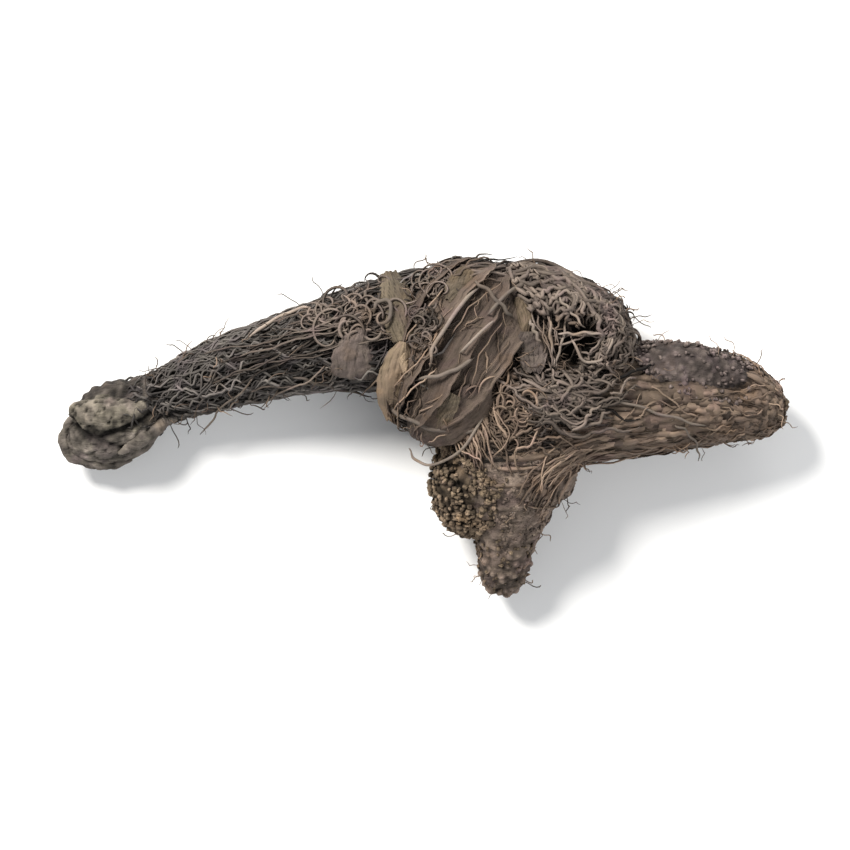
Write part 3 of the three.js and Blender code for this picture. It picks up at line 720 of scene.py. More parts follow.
def woody_skin():
    """The skin's points, triangles, shades, places along the grain and the look of each triangle."""
    found = [nearness(skin_points, limb) for limb in LIMBS]
    gaps, alongs, angles = (np.array([each[k] for each in found]) for k in range(3))
    owner = gaps.argmin(0)
    rows = np.arange(len(skin_points))
    along, angle = alongs[owner, rows], angles[owner, rows]
    slow = noise_at(skin_points, 3.0, 2)
    rough = noise_at(skin_points, 1.6, 3, 5.0)
    fine = noise_at(skin_points, 0.55, 2, 11.0)
    pebbles = beads(skin_points, 1.05, 0.55)
    grains = beads(skin_points, 0.75, 0.5, 7.0)
    round_stub = np.column_stack([angle * 4.5, along * 50, slow])
    dashes = noise_at(round_stub, 1.3, 2, 17.0)
    end_on = np.clip(0.7 * (PITS_FROM - skin_points[:, 0]) + slow, 0, 1)
    pits = beads(skin_points, 0.55, 0.38, 13.0) * end_on

    # In these looks the tint mostly rises with the lift: ridges, grains, pebbles and flakes that stand up are
    # paler, and wrinkles and pits that sink are darker, which is painted shade in the low places.
    def fibrous(count):
        ridges = np.cos(count * angle + 9 * along + 1.5 * slow)
        return (-SKIN_SINK + 0.14 * ridges + 0.25 * rough + 0.1 * fine,
                0.3 + 0.18 * ridges + 0.35 * rough + 0.2 * fine)

    at_tip = np.clip((along - 0.90) * 15, 0, 1)
    tip = np.clip((along - 0.62) * 6, 0, 1)
    papery = (-0.12 + 0.10 * rough + 0.10 * dashes + tip * (0.1 + 0.28 * grains),
              0.50 + 0.20 * rough + 0.38 * dashes + tip * (0.50 * grains - 0.28))
    lobed = -0.14 + 0.24 * grains + 0.1 * rough + 0.06 * fine, 0.30 + 0.36 * grains + 0.3 * rough
    warty = -0.30 + 0.22 * pebbles + 0.10 * rough + 0.06 * fine, 0.16 + 0.36 * pebbles + 0.3 * rough
    wrinkled = wrinkles(skin_points)
    lip = 0.16 * rough + 0.10 * fine - 0.16 * wrinkled, 0.60 + 0.34 * rough + 0.3 * fine - 0.30 * wrinkled
    cut = 0.16 * rough + 0.12 * fine - 0.32 * pits, 0.66 + 0.40 * fine + 0.3 * rough - 0.75 * pits
    streaks = np.cos(TURN * 8 * along + 4 * slow)
    worn_and_shaded = (0.16 * rough + 0.08 * streaks + 0.06 * fine - 0.12 * wrinkled,
            0.36 + 0.30 * rough + 0.2 * fine + 0.12 * streaks - 0.20 * wrinkled)
    straw_lift, straw_tint = fibrous(24)
    blunt = straw_lift + 0.3 * grains * at_tip, straw_tint + (0.35 + 0.3 * grains) * at_tip
    dressed = [(fibrous(11), bark_look), (blunt, straw_bark), (papery, papery_look), (fibrous(9), bark_look),
               (fibrous(8), bark_look), (fibrous(8), bark_look), (lobed, lobe_look), (warty, crust_look),
               (lip, foot_look), (worn_and_shaded, heel_look), (cut, face_look)]  # in the order of LIMBS

    lift, tint = np.zeros(len(rows)), np.zeros(len(rows))
    for number, ((own_lift, own_tint), _) in enumerate(dressed):
        part = evened((owner == number).astype(float), BLEND_ROUNDS)
        lift += part * own_lift
        tint += part * own_tint

    over = skin_points[:, 2] > UPPER_SIDE
    crease = over * groove(skin_points, CREVICE, CREVICE_WIDTH)
    fold = over * groove(skin_points, FOLD, FOLD_WIDTH)
    lift -= CREVICE_DEPTH * crease + FOLD_DEPTH * fold
    # Painted shade in the crevice, the fold and a wider band round the crevice.
    tint -= 0.75 * crease + 0.5 * fold + 0.18 * over * groove(skin_points, CREVICE, CREVICE_SHADE)
    inside = in_hollow(skin_points)
    lift -= HOLLOW_DEPTH * inside
    # Painted shade: the skin inside the nest's hollow is darkened by up to 0.85.
    tint *= 1 - 0.85 * inside

    shaped = skin_points + point_normals(skin_points, skin_triangles) * lift[:, None]
    shaped[:, 2] = np.maximum(shaped[:, 2], 0.0)
    on_stub = owner == LIMBS.index(stub)
    flow = np.column_stack([along * 25 + 40 * owner, 4 * np.cos(angle), 4 * np.sin(angle)])
    flow[on_stub] = np.column_stack([angle * 4, along * 20, slow])[on_stub]
    face_owner = owner[skin_triangles[:, 0]]
    looks = [look for _, look in dressed]
    kinds = list(dict.fromkeys(looks))
    look_of_face = np.array([kinds.index(look) for look in looks])[face_owner]
    return kinds, (shaped, skin_triangles, tint, flow), look_of_face


skin_materials, skin_part, skin_looks = woody_skin()
woody = piece("woody_rhizome", skin_materials, [skin_part], skin_looks)
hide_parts(NODE)


# Routes of the loose strands over the top, seen from above: x and y
FAN_HIGH = [(2.5, 0.2), (6.0, -1.2), (9.5, -1.6), (13.5, -0.8)]
FAN_LOW = [(2.6, -0.8), (5.5, -2.6), (9.0, -3.4), (14.0, -2.6)]
FAN_ACROSS = [(5.0, -4.8), (7.5, -3.2), (10.0, -1.4), (13.0, 0.2)]
CROWN_TO_STUB = [(-1.8, -2.6), (-1.2, -4.6), (-0.6, -6.6), (0.2, -8.8)]
DOWN_CROWN = [(0.6, -1.0), (1.2, -3.2), (1.0, -5.2), (1.8, -7.6)]
UNDER_CROWN = [(-0.6, -3.8), (2.6, -4.6), (5.4, -4.6), (9.0, -5.8)]
ARM_TO_STUB = [(12.0, -6.2), (8.6, -7.2), (6.2, -8.8), (4.8, -11.0), (4.0, -13.6)]
OVER_BUD = [(-7.5, -4.0), (-4.5, -1.0), (-2.0, 3.0), (1.0, 7.0), (4.0, 9.0)]
DOWN_NEST = [(5.2, 5.4), (5.5, 3.4), (5.9, 1.4), (6.1, -0.2)]
OVER_NEST = [(5.6, 3.4), (7.4, 3.0), (9.4, 3.2), (11.4, 2.4)]
RIM_NEST = [(8.2, 0.2), (10.0, 0.8), (11.2, 2.2), (11.4, 4.2), (10.0, 6.0)]
BUD_TIP = [(-6.0, 8.6), (-2.5, 9.2), (1.5, 9.4), (5.5, 8.8)]
ARM_TO_CROWN = [(-25.0, -0.5), (-18.0, 1.8), (-12.0, 3.5), (-7.0, 5.0), (-2.0, 7.0)]

# Coats of fibre: a close layer on each limb, dark with painted shade, a net on the long arm and flat straws
# on the thick one

NET_STRANDS = 42
NET_CELLS = 13
BESIDE_ARM = (shoulder, nest)  # these grow out of the thick arm, and its fibres stay off them


def net_coat(rng, limb, cells, start, reach, lift, shade, radius):
    paths = net_paths(rng, NET_STRANDS, cells, start, reach)
    return along_limb(rng, limb, paths, lift, shade, radius)


def straws(rng, limb, paths, width, thickness, lift, shade, others):
    """Flat straws along paths on a limb, in bands of like shade."""
    along, angle = paths
    band = 0.5 + 0.5 * np.sin(5 * angle[:, :1] + 9 * along[:, :1])
    level = np.clip(0.5 * band + 0.5 * draw(rng, (0, 1), len(along)), 0, 1)
    # The level sets both lift and shade, so lower straws are darker: painted shade, over bands of the straws'
    # own tone.
    lines, out = raised(rng, limb, paths, lift, level)
    clear = clear_of(lines, limb, others)
    return ribbons(rng, lines[clear], out[clear], width, thickness, shade, level[clear])


def straw_coat(rng, limb, count, start, reach, drift, waver, width, thickness, lift, shade):
    paths = limb_paths(rng, count, start, reach, ALL_ROUND, drift, waver)
    return straws(rng, limb, paths, width, thickness, lift, shade, BESIDE_ARM)


def paper_coat(rng, limb, count, along, angles, reach, width, thickness, lift, shade, others, steps=10):
    """Flakes that run round a limb, like the edges of its paper."""
    share = evenly(steps)
    place = draw(rng, along, count) + draw(rng, (-0.07, 0.07), count) * share
    place = place + waved(rng, count, steps, 0.006)
    paths = place, draw(rng, angles, count) + draw(rng, reach, count) * share
    return straws(rng, limb, paths, width, thickness, lift, shade, others)


dress("long_arm_fibres", grey_fibre, 1, [
    (coat, left_arm, 520, (0.06, 0.78), (0.10, 0.26), 0.5, 0.07, (-0.25, 0.05), (0.08, 0.40), (0.09, 0.17)),
    (coat, left_arm, 330, (0.10, 0.80), (0.06, 0.20), 1.6, 0.10, (0.0, 0.30), (0.35, 0.85), (0.07, 0.14)),
    (coat, heel, 110, (0.02, 0.30), (0.12, 0.34), 0.5, 0.10, (-0.15, 0.15), (0.10, 0.65), (0.08, 0.14)),
])
dress("long_arm_net", grey_fibre, 4, [
    (net_coat, left_arm, NET_CELLS, (0.15, 0.45), (0.25, 0.55), (0.0, 0.15), (0.35, 0.75), (0.12, 0.19)),
    (net_coat, left_arm, NET_CELLS, (0.25, 0.65), (0.18, 0.34), (0.10, 0.26), (0.45, 0.90), (0.10, 0.17)),
    (net_coat, left_arm, 1.7 * NET_CELLS, (0.2, 0.7), (0.15, 0.28), (0.20, 0.34), (0.50, 0.95), (0.08, 0.13)),
])
dress("thick_arm_straws", straw_fibre, 2, [
    (straw_coat, right_arm, 290, (0.18, 0.78), (0.12, 0.26), 0.08, 0.008,
     (1.0, 2.0), 0.16, (-0.14, -0.02), (0.35, 0.66)),
    (straw_coat, right_arm, 380, (0.10, 0.80), (0.08, 0.24), 0.14, 0.012,
     (0.40, 0.90), 0.14, (-0.04, 0.10), (0.35, 0.80)),
])
dress("thick_arm_fibres", straw_fibre, 5, [
    (coat, right_arm, 130, (0.10, 0.76), (0.10, 0.26), 0.3, 0.03,
     (0.02, 0.15), (0.05, 0.40), (0.05, 0.10), ALL_ROUND, BESIDE_ARM),
    (coat, right_arm, 110, (0.12, 0.78), (0.08, 0.20), 0.9, 0.05,
     (0.05, 0.28), (0.45, 0.95), (0.05, 0.10), ALL_ROUND, BESIDE_ARM),
    (swept, ARM_TO_STUB, 50, 0.8, 6, 0.10, 0.6, (0.0, 0.35), (0.35, 0.80), (0.08, 0.15)),
])
dress("stub_paper", papery_look, 6, [
    (paper_coat, stub, 240, (0.20, 0.68), (-0.9, 1.7), (0.06, 0.26),
     (0.25, 0.70), 0.14, (-0.22, 0.0), (0.30, 0.85), (warts,)),
])
dress("crown_fibres", brown_fibre, 3, [
    (coat, belly, 300, (0.05, 0.6), (0.3, 0.5), 0.8, 0.1, (-0.2, 0.15), (0.10, 0.5), (0.08, 0.15)),
    (coat, nest, 260, (0.05, 0.5), (0.3, 0.6), 1.0, 0.12, (-0.2, 0.1), (0.05, 0.4), (0.08, 0.15)),
    (coat, bud, 260, (0.05, 0.7), (0.2, 0.5), 0.5, 0.06, (-0.25, 0.0), (0.05, 0.4), (0.08, 0.15)),
    (coat, stub, 150, (0.15, 0.8), (0.1, 0.3), 0.9, 0.1, (-0.2, 0.1), (0.2, 0.7), (0.07, 0.13), UNDERSIDE),
])


# The nest: wiry rootlets that curl round a hollow, from the bud clockwise to the thick arm. Seen from above
# it is an oval, turned a little clockwise.

NEST_MIDDLE = np.array([6.0, 3.6])
NEST_REACH = np.array([8.0, 5.4])
NEST_HEIGHT = 5.4
NEST_BASE = 6.9
NEST_TURN = math.radians(-25)


def nest_arcs(rng, count, far, start, sweep, lift, shade, radius, sides=3, steps=30):
    """Arcs round the nest's middle, at a share of its reach. Angles are degrees, and go clockwise."""
    part = evenly(steps)
    sway = draw(rng, (-0.16, 0.16), count) * wave(rng, count, 1, part)
    ripple = 0.03 * wave(rng, count, draw(rng, (3, 7), count), part)
    dip = near_ends(part, 8)
    furthest = draw(rng, (0.80, 1.0), count) + ripple
    out = np.minimum(draw(rng, far, count) + sway + ripple, furthest) * (1 - 0.2 * dip)
    angle = np.radians(draw(rng, start, count) - draw(rng, sweep, count) * part)
    level = draw(rng, (0, 1), count)
    # The level sets both lift and shade, so lower arcs are darker: painted shade.
    rise = between(lift, level) - 2.2 * dip
    rise = rise + 0.3 * wave(rng, count, 2, part)
    height = NEST_BASE + NEST_HEIGHT * np.sqrt(np.maximum(0, 1 - out**2)) + rise
    x, y = NEST_REACH[0] * out * np.cos(angle), NEST_REACH[1] * out * np.sin(angle)
    lines = np.stack([NEST_MIDDLE[0] + x * math.cos(NEST_TURN) - y * math.sin(NEST_TURN),
                      NEST_MIDDLE[1] + x * math.sin(NEST_TURN) + y * math.cos(NEST_TURN), height], -1)
    return strands(rng, lines, radius, shade, level, sides)


HOLLOW_TOP = 10.6


def across_hollow(rng, count, facing, shade, radius, steps=16):
    """Strands that hang across the hollow from rim to rim. facing is the angle where each starts."""
    share = evenly(steps)
    angle = draw(rng, facing, count)
    sweep = draw(rng, (2.2, 3.9), count)
    ends = [np.stack([HOLLOW_MIDDLE[k] + 1.25 * HOLLOW_HALF[k] * turn(a) for a in (angle, angle + sweep)])
            for k, turn in enumerate((np.cos, np.sin))]
    lines = np.stack([ends[0][0] * (1 - share) + ends[0][1] * share,
                      ends[1][0] * (1 - share) + ends[1][1] * share,
                      HOLLOW_TOP + draw(rng, (-1.2, 0.9), count) - 1.4 * np.sin(math.pi * share)], -1)
    lines[..., 0] += 0.25 * wave(rng, count, 1.5, share)
    return strands(rng, lines, radius, shade, draw(rng, (0, 1), count))


# The rows that lie lowest in these pieces, as in the coats, have the darkest shades: painted shade under the
# strands above.
dress("nest_rootlets", brown_fibre, 7, [
    (nest_arcs, 90, (0.60, 0.98), (125, 190), (60, 230), (-0.6, 0.2), (0.05, 0.35), (0.10, 0.17)),
    (nest_arcs, 40, (0.58, 1.00), (110, 195), (60, 200), (0.3, 1.2), (0.45, 0.90), (0.15, 0.23), 4),
    (nest_arcs, 34, (0.30, 0.85), (100, 170), (25, 70), (0.6, 1.4), (0.45, 0.90), (0.14, 0.21), 4),
    (nest_arcs, 50, (0.60, 0.98), (-40, 330), (20, 70), (0.4, 1.5), (0.40, 0.95), (0.10, 0.16)),
    (nest_arcs, 40, (0.82, 1.00), (20, 100), (30, 90), (-0.3, 0.5), (0.45, 0.95), (0.09, 0.15)),
    (across_hollow, 8, (1.3, 2.2), (0.5, 1.0), (0.08, 0.13)),
    (across_hollow, 6, ALL_ROUND, (0.1, 0.6), (0.07, 0.11)),
    (swept, DOWN_NEST, 9, 0.5, 6, 0.12, 0.8, (0.4, 1.2), (0.70, 1.2), (0.08, 0.13), False),
    (swept, OVER_NEST, 4, 0.5, 14, 0.16, 0.8, (0.4, 1.0), (0.45, 1.0), (0.08, 0.12), False),
    (swept, RIM_NEST, 20, 0.5, 8, 0.18, 0.65, (0.3, 1.1), (0.50, 1.1), (0.09, 0.15), False),
])
dress("crown_strands", straw_fibre, 8, [
    (swept, CROWN_TO_STUB, 60, 0.9, 7, 0.09, 0.9, (0.0, 0.6), (0.25, 0.90), (0.09, 0.15)),
    (swept, OVER_BUD, 12, 1.8, 6, 0.12, 0.45, (0.8, 1.3), (0.4, 1.0), (0.06, 0.11)),
    (swept, DOWN_CROWN, 50, 1.4, 12, 0.10, 0.75, (0.1, 0.8), (0.25, 0.90), (0.09, 0.15)),
    (swept, UNDER_CROWN, 60, 1.1, 10, 0.24, 0.55, (-0.1, 0.5), (0.05, 0.60), (0.09, 0.16)),
    (curls, 36, (1.8, -3.0), (2.4, 1.5), (0.5, 1.2), (0.1, 0.7), (0.2, 0.8), (0.09, 0.14)),
    (coat, bud, 60, (0.06, 0.75), (0.08, 0.25), 0.35, 0.05,
     (0.30, 0.90), (0.25, 0.70), (0.05, 0.09), (0.3, 2.9)),
])
dress("fan_strands", brown_fibre, 12, [
    (swept, FAN_HIGH, 60, 1.0, 9, 0.30, 0.6, (-0.1, 0.3), (0.00, 0.30), (0.10, 0.17)),
    (swept, FAN_HIGH, 30, 0.8, 9, 0.32, 0.6, (0.2, 0.9), (0.45, 0.90), (0.13, 0.20)),
    (swept, FAN_LOW, 36, 0.9, 9, 0.32, 0.6, (0.1, 0.8), (0.30, 0.90), (0.12, 0.20)),
    (swept, FAN_ACROSS, 22, 1.1, 10, 0.22, 0.5, (0.4, 1.0), (0.50, 0.95), (0.11, 0.17)),
])
dress("curly_rootlets", brown_fibre, 9, [
    (curls, 90, (-11.0, 4.9), (4.0, 2.6), (0.5, 1.6), (-0.1, 0.3), (0.00, 0.35), (0.09, 0.15)),
    (curls, 120, (-11.2, 5.2), (4.0, 2.6), (0.35, 1.2), (0.3, 1.0), (0.40, 1.0), (0.11, 0.17)),
    (curls, 70, (9.0, 5.8), (3.4, 1.6), (0.4, 1.2), (0.3, 1.1), (0.20, 0.9), (0.10, 0.16)),
    (curls, 46, (11.4, 3.0), (1.6, 2.2), (0.4, 1.1), (0.3, 1.0), (0.35, 0.9), (0.10, 0.16)),
    (curls, 50, (-5.0, 3.4), (1.0, 2.6), (0.3, 0.8), (0.9, 1.5), (0.35, 0.8), (0.09, 0.14)),
    (curls, 46, (-4.0, 7.4), (1.8, 1.2), (0.4, 1.1), (0.3, 1.1), (0.20, 0.9), (0.08, 0.14)),
    (swept, ARM_TO_CROWN, 60, 1.4, 8, 0.16, 0.45, (0.2, 0.8), (0.2, 0.85), (0.07, 0.12)),
    (swept, BUD_TIP, 34, 0.7, 12, 0.16, 0.7, (0.1, 0.8), (0.2, 0.85), (0.08, 0.14)),
])

# Single long roots that lie over the others: where each passes, x and y, its lift, thickness and shade
LONG_ROOTS = [
    ([(-9.4, -1.6), (-7.6, -3.4), (-5.8, -4.5), (-3.9, -5.1), (-1.6, -5.3), (0.4, -4.8)], 0.8, 0.20, 0.60),
    ([(-6.4, -6.8), (-5.8, -7.6), (-4.7, -8.2), (-2.1, -7.1), (-0.4, -4.8), (0.6, -3.0)], 0.8, 0.13, 0.75),
    ([(-20.4, 2.8), (-19.2, 3.7), (-17.6, 4.7), (-15.8, 5.4), (-14.6, 5.6)], 0.9, 0.15, 0.90),
    ([(-19.4, 0.2), (-20.8, -1.8), (-22.8, -3.2), (-23.6, -4.4), (-24.8, -5.6)], 0.5, 0.09, 0.60),
    ([(-16.8, -0.4), (-14.6, -1.0), (-12.4, -1.6), (-9.6, -2.2)], 0.5, 0.14, 0.50),
    ([(1.0, 8.6), (5.0, 8.6), (9.4, 6.6), (12.0, 4.0), (12.4, 1.2)], 1.0, 0.15, 0.75),
    ([(10.0, -2.0), (13.6, -3.2), (17.0, -4.2), (20.0, -5.0)], 0.4, 0.12, 0.75),
    ([(-4.5, 0.2), (-4.3, 1.8), (-3.0, 3.9), (-1.5, 6.0), (-0.2, 7.2)], 1.5, 0.17, 0.70),
    ([(-2.0, 1.4), (-1.2, 2.2), (0.0, 3.4), (1.2, 4.4)], 1.5, 0.14, 0.85),
    ([(-6.0, -0.8), (-3.8, -0.5), (-2.0, 0.2), (-0.6, 1.2)], 1.2, 0.19, 0.55),
    ([(-1.0, 7.8), (0.4, 6.8), (1.8, 5.3), (2.6, 4.4)], 1.3, 0.18, 0.60),
    ([(4.6, 8.0), (2.4, 6.8), (1.0, 5.4), (0.4, 4.6)], 1.3, 0.16, 0.55),
    ([(4.0, 4.4), (4.4, 3.4), (5.0, 2.2)], 1.5, 0.16, 0.70),
    ([(5.8, 4.8), (5.8, 3.0), (6.0, 1.2), (6.2, 0.2)], 1.0, 0.12, 0.85),
    ([(7.2, 4.6), (6.9, 2.8), (6.4, 1.0), (6.2, 0.0)], 0.8, 0.11, 0.75),
    ([(6.2, 3.2), (7.6, 3.1), (9.2, 3.2), (10.6, 2.9)], 1.2, 0.12, 0.75),
    ([(7.6, 3.2), (8.0, 1.8), (9.0, 0.7), (10.2, 0.9), (11.0, 2.2), (11.4, 3.4)], 1.1, 0.13, 0.80),
    ([(10.2, 6.4), (11.6, 5.0), (12.3, 3.2), (12.2, 1.8)], 1.1, 0.13, 0.75),
    ([(6.2, 6.6), (7.4, 5.2), (8.8, 3.6)], 1.3, 0.12, 0.75),
    ([(-9.3, 4.6), (-9.2, 5.7), (-8.3, 6.0), (-7.8, 5.1), (-8.3, 4.1), (-9.1, 4.2)], 1.4, 0.18, 0.50),
    ([(16.4, -4.6), (17.6, -5.2), (18.7, -6.5), (19.0, -7.8)], 0.5, 0.10, 0.70),
]


def long_root(rng, route, lift, radius, shade, steps=40):
    share = evenly(steps)
    flat = smooth_curve(route, share)[None]
    flat = flat + 0.07 * np.sin(TURN * (share * 3.3 + rng.uniform(0, 1)))[None, :, None]
    height, _ = bridged(flat, into_hollow=False)
    line = np.concatenate([flat, (height + lift - 1.2 * near_ends(share, 8))[..., None]], -1)
    return strands(rng, line, (radius, radius), (shade, shade), np.ones((1, 1)), 6)


dress("long_roots", root_look, 10, [(long_root, *root) for root in LONG_ROOTS])


# Warts: small round scars crowded on the stub, the shoulder and the thick arm's tip

BALL_RINGS = 5
BALL_SIDES = 8


def unit_ball():
    polar = np.linspace(math.pi - 0.2, 0.2, BALL_RINGS)[:, None]
    ring = np.arange(BALL_SIDES) * TURN / BALL_SIDES
    points = np.stack([np.sin(polar) * np.cos(ring), np.sin(polar) * np.sin(ring),
                       np.cos(polar) * np.ones(BALL_SIDES)], -1)
    return points.reshape(-1, 3), ring_faces(BALL_RINGS, BALL_SIDES)


def lumps(rng, limb, count, along, angles, size, shade):
    """Rough balls half sunk in the skin, darker at their feet with painted shade."""
    ball, one = unit_ball()
    place, out = on_skin(limb.at(draw(rng, along, count), draw(rng, angles, count)).reshape(-1, 3))
    radius = draw(rng, size, count)
    centre = place + out * radius * draw(rng, (-0.55, 0.15), count)
    above = centre[:, 2] > radius[:, 0]
    centre, out, radius = centre[above], out[above], radius[above]
    count = len(centre)
    stretch = rng.uniform(0.65, 1.35, (count, 1, 3)) * (1 + 0.20 * rng.normal(0, 1, (count, len(ball), 1)))
    shape = ball * radius[:, None] * stretch
    outward = (shape * out[:, None]).sum(2) / radius
    # Painted shade: the side turned to the skin is darker and the side facing out paler.
    tint = draw(rng, shade, count) - 0.35 + 0.45 * np.clip(outward, -1, 1)
    faces = one[None] + (np.arange(count) * len(ball))[:, None, None]
    return (shape + centre[:, None]).reshape(-1, 3), faces.reshape(-1, 3), tint.ravel()


scar_source = np.random.default_rng(11)
dress("stub_warts", crust_look, scar_source, [
    (lumps, warts, 620, (0.06, 0.94), (0.7, 3.9), (0.15, 0.31), (0.40, 1.0)),
    (lumps, stub, 190, (0.66, 0.99), ALL_ROUND, (0.10, 0.22), (0.35, 0.85)),
    (lumps, stub, 80, (0.25, 0.70), (1.6, 5.6), (0.10, 0.20), (0.4, 0.8)),
])
dress("shoulder_crust", lobe_look, scar_source, [
    (lumps, shoulder, 150, (0.06, 0.80), (-0.6, 3.6), (0.10, 0.20), (0.50, 0.90)),
    (lumps, shoulder, 60, (0.10, 0.85), (-0.3, 0.7), (0.12, 0.22), (0.75, 1.0)),
])
dress("arm_tip_scars", crust_look, scar_source, [
    (lumps, right_arm, 90, (0.95, 1.0), ALL_ROUND, (0.10, 0.22), (0.35, 0.75)),
])


# The foot: lips rolled round its cut face

def rolled(rng, points, radii, shade, steps=60, sides=14):
    """A thick uneven roll that follows the skin near the given points."""
    share = evenly(steps)
    line, _ = on_skin(smooth_curve(points, share))
    radius = smooth_curve(np.array(radii)[:, None], share)[:, 0]
    made = strands(rng, line[None], (1.0, 1.0), (0.5, 0.5), np.zeros((1, 1)), sides, 1.0)
    ring = made[0].reshape(steps, sides, 3)
    flat = (line[:, None] + (ring - line[:, None]) * radius[:, None, None]).reshape(-1, 3)
    lumpy = noise_at(flat, 1.1, 3, 31.0)
    outward = (flat.reshape(steps, sides, 3) - line[:, None]).reshape(-1, 3)
    wrinkled = wrinkles(flat)
    moved = flat + outward * (0.30 * lumpy - 0.22 * wrinkled)[:, None]
    moved[:, 2] = np.maximum(moved[:, 2], 0.02)
    # The tint follows the relief: bumps are paler and wrinkles darker, painted shade in the wrinkles.
    return moved, made[1], shade + 0.4 * lumpy - 0.25 * wrinkled


FRONT_LIP = [(-35.6, -3.6, 4.0), (-36.2, -5.0, 3.5), (-35.7, -6.7, 3.0), (-34.2, -7.7, 2.9),
             (-32.4, -8.0, 3.0), (-30.8, -7.4, 3.3)]
FRONT_LIP_RADII = [0.2, 0.45, 0.6, 0.65, 0.6, 0.2]
SIDE_LIP = [(-31.8, -6.6, 4.4), (-30.4, -5.9, 4.7), (-28.9, -5.0, 4.6), (-27.6, -4.0, 4.3),
            (-26.9, -3.5, 4.1)]
SIDE_LIP_RADII = [0.15, 0.6, 0.7, 0.5, 0.25]
dress("foot_lips", foot_look, 13, [
    (rolled, FRONT_LIP, FRONT_LIP_RADII, 0.60),
    (rolled, SIDE_LIP, SIDE_LIP_RADII, 0.60),
])


# Papery leaf sheaths: thin ribbed patches wrapped round the bud, each lifting to a torn free edge

SHEET_ROWS = 48
SHEET_COLUMNS = 30
SHEET_THICKNESS = 0.24
SHEATH_CURL = 2.4  # how late a sheath's free edge lifts, as a power of the share across it
SHEATH_TWIST = 0.5  # how far the sheaths turn round the bud from its base to its tip, in radians


def ragged(along, seed):
    """The wander of a torn edge, between about -1 and 1."""
    return (0.5 * np.sin(7 * along + seed) + 0.3 * np.sin(19 * along + 2 * seed)
            + 0.2 * np.sin(47 * along + 3 * seed))


def cracks(u, v, seed):
    """1 in the fine cracks that run along a sheet, and 0 between them."""
    wave = np.sin(34 * v + 2.5 * np.sin(4 * u + seed) + 1.5 * np.sin(9 * u + 2 * seed))
    return np.clip(5 * (wave - 0.8), 0, 1) * (0.5 + 0.5 * np.sin(11 * u + 5 * v + seed))


def sheet(surface, shade, seed, length, width):
    """A closed thin sheet. surface(u, v) gives its outer points and the way out at each."""
    u, v = np.meshgrid(evenly(SHEET_ROWS), evenly(SHEET_COLUMNS), indexing="ij")
    outer, out = surface(u, v)
    edge = np.minimum(np.minimum(u, 1 - u), np.minimum(v, 1 - v))
    inner = outer - out * (SHEET_THICKNESS * np.minimum(1, 0.35 + 12 * edge))[..., None]
    points = np.concatenate([outer.reshape(-1, 3), inner.reshape(-1, 3)])
    index = np.arange(u.size).reshape(u.shape)
    top = np.stack([index[:-1, :-1], index[1:, :-1], index[1:, 1:], index[:-1, 1:]], -1).reshape(-1, 4)
    border = np.concatenate([index[0, :-1], index[:-1, -1], index[-1, :0:-1], index[:0:-1, 0]])
    after = np.roll(border, -1)
    wall = np.stack([border, after, after + u.size, border + u.size], -1)
    faces = triangles_of(np.vstack([top, top[:, ::-1] + u.size, wall]))
    flow = np.stack([u * length, v * width, np.full_like(u, 3.0 * seed)], -1).reshape(-1, 3)
    flow = np.concatenate([flow, flow + 50.0])
    # The tone rises towards the v = 1 edge, a sheath's raised free edge, with a pale band along that edge
    # that is painted highlight over the paper's own paler edge; the cracks, which are also sunk, are darker
    # with painted shade, and the inner side is a painted shaded copy, 0.25 darker.
    tone = 0.14 * (v - 0.5) + 0.08 * ragged(u + v, seed) + 0.22 * np.clip(1 - 14 * (1 - v), 0, 1)
    tone = tone - 0.35 * cracks(u, v, seed)
    tint = shade + np.concatenate([tone.ravel(), tone.ravel() - 0.25])
    return points, faces, tint, flow


def sheath(limb, along, angles, base, rise, shade, seed):
    """A sheath on a limb, from one angle, where it lies close, to the other, where it stands off."""
    def surface(u, v):
        full = 0.6 + 0.4 * np.sin(math.pi * u).clip(0) ** 0.6
        across = 0.5 + (v - 0.5) * full
        angle = (between(angles, across) + SHEATH_TWIST * (u - 0.5)
                 + 0.045 * ragged(2 * u, seed) * v + 0.04 * ragged(u, seed + 4) * (1 - v))
        share = between(along, u) + 0.03 * ragged(1.5 * v, seed + 9) * (2 * u - 1)
        lift = base + rise * v**SHEATH_CURL * full + 0.02 * np.cos(TURN * 9 * v + 2 * ragged(u, seed))
        lift = lift + 0.09 * ragged(0.5 * u + 0.3 * v, seed + 2) - 0.06 * cracks(u, v, seed)
        return limb.at(share, angle, lift), limb.out(share, angle)
    return sheet(surface, shade, seed, 18.0, 5.0)


# For each sheath: the shares of the bud and the angles round it, its base, rise, shade and seed
SHEATHS = [
    ((0.06, 0.90), (0.05, 0.80), 0.05, 0.95, 0.45, 1.0),
    ((0.24, 0.95), (0.75, 1.35), 0.10, 1.15, 0.58, 2.3),
    ((0.10, 0.92), (1.25, 1.74), 0.10, 1.10, 0.52, 3.7),
    ((0.24, 0.94), (1.65, 2.30), 0.10, 1.05, 0.58, 5.1),
    ((0.12, 0.90), (2.20, 2.95), 0.05, 0.95, 0.50, 6.4),
    ((0.06, 0.86), (2.85, 3.60), 0.00, 0.75, 0.40, 7.9),
    ((0.02, 0.44), (1.35, 2.35), 0.55, 0.55, 0.58, 9.2),
    ((0.10, 0.90), (3.60, 4.50), 0.00, 0.50, 0.30, 10.4),
    ((0.10, 0.90), (5.30, 6.30), 0.00, 0.50, 0.30, 11.9),
]
piece("bud_sheaths", [sheath_look], [sheath(bud, *row) for row in SHEATHS])


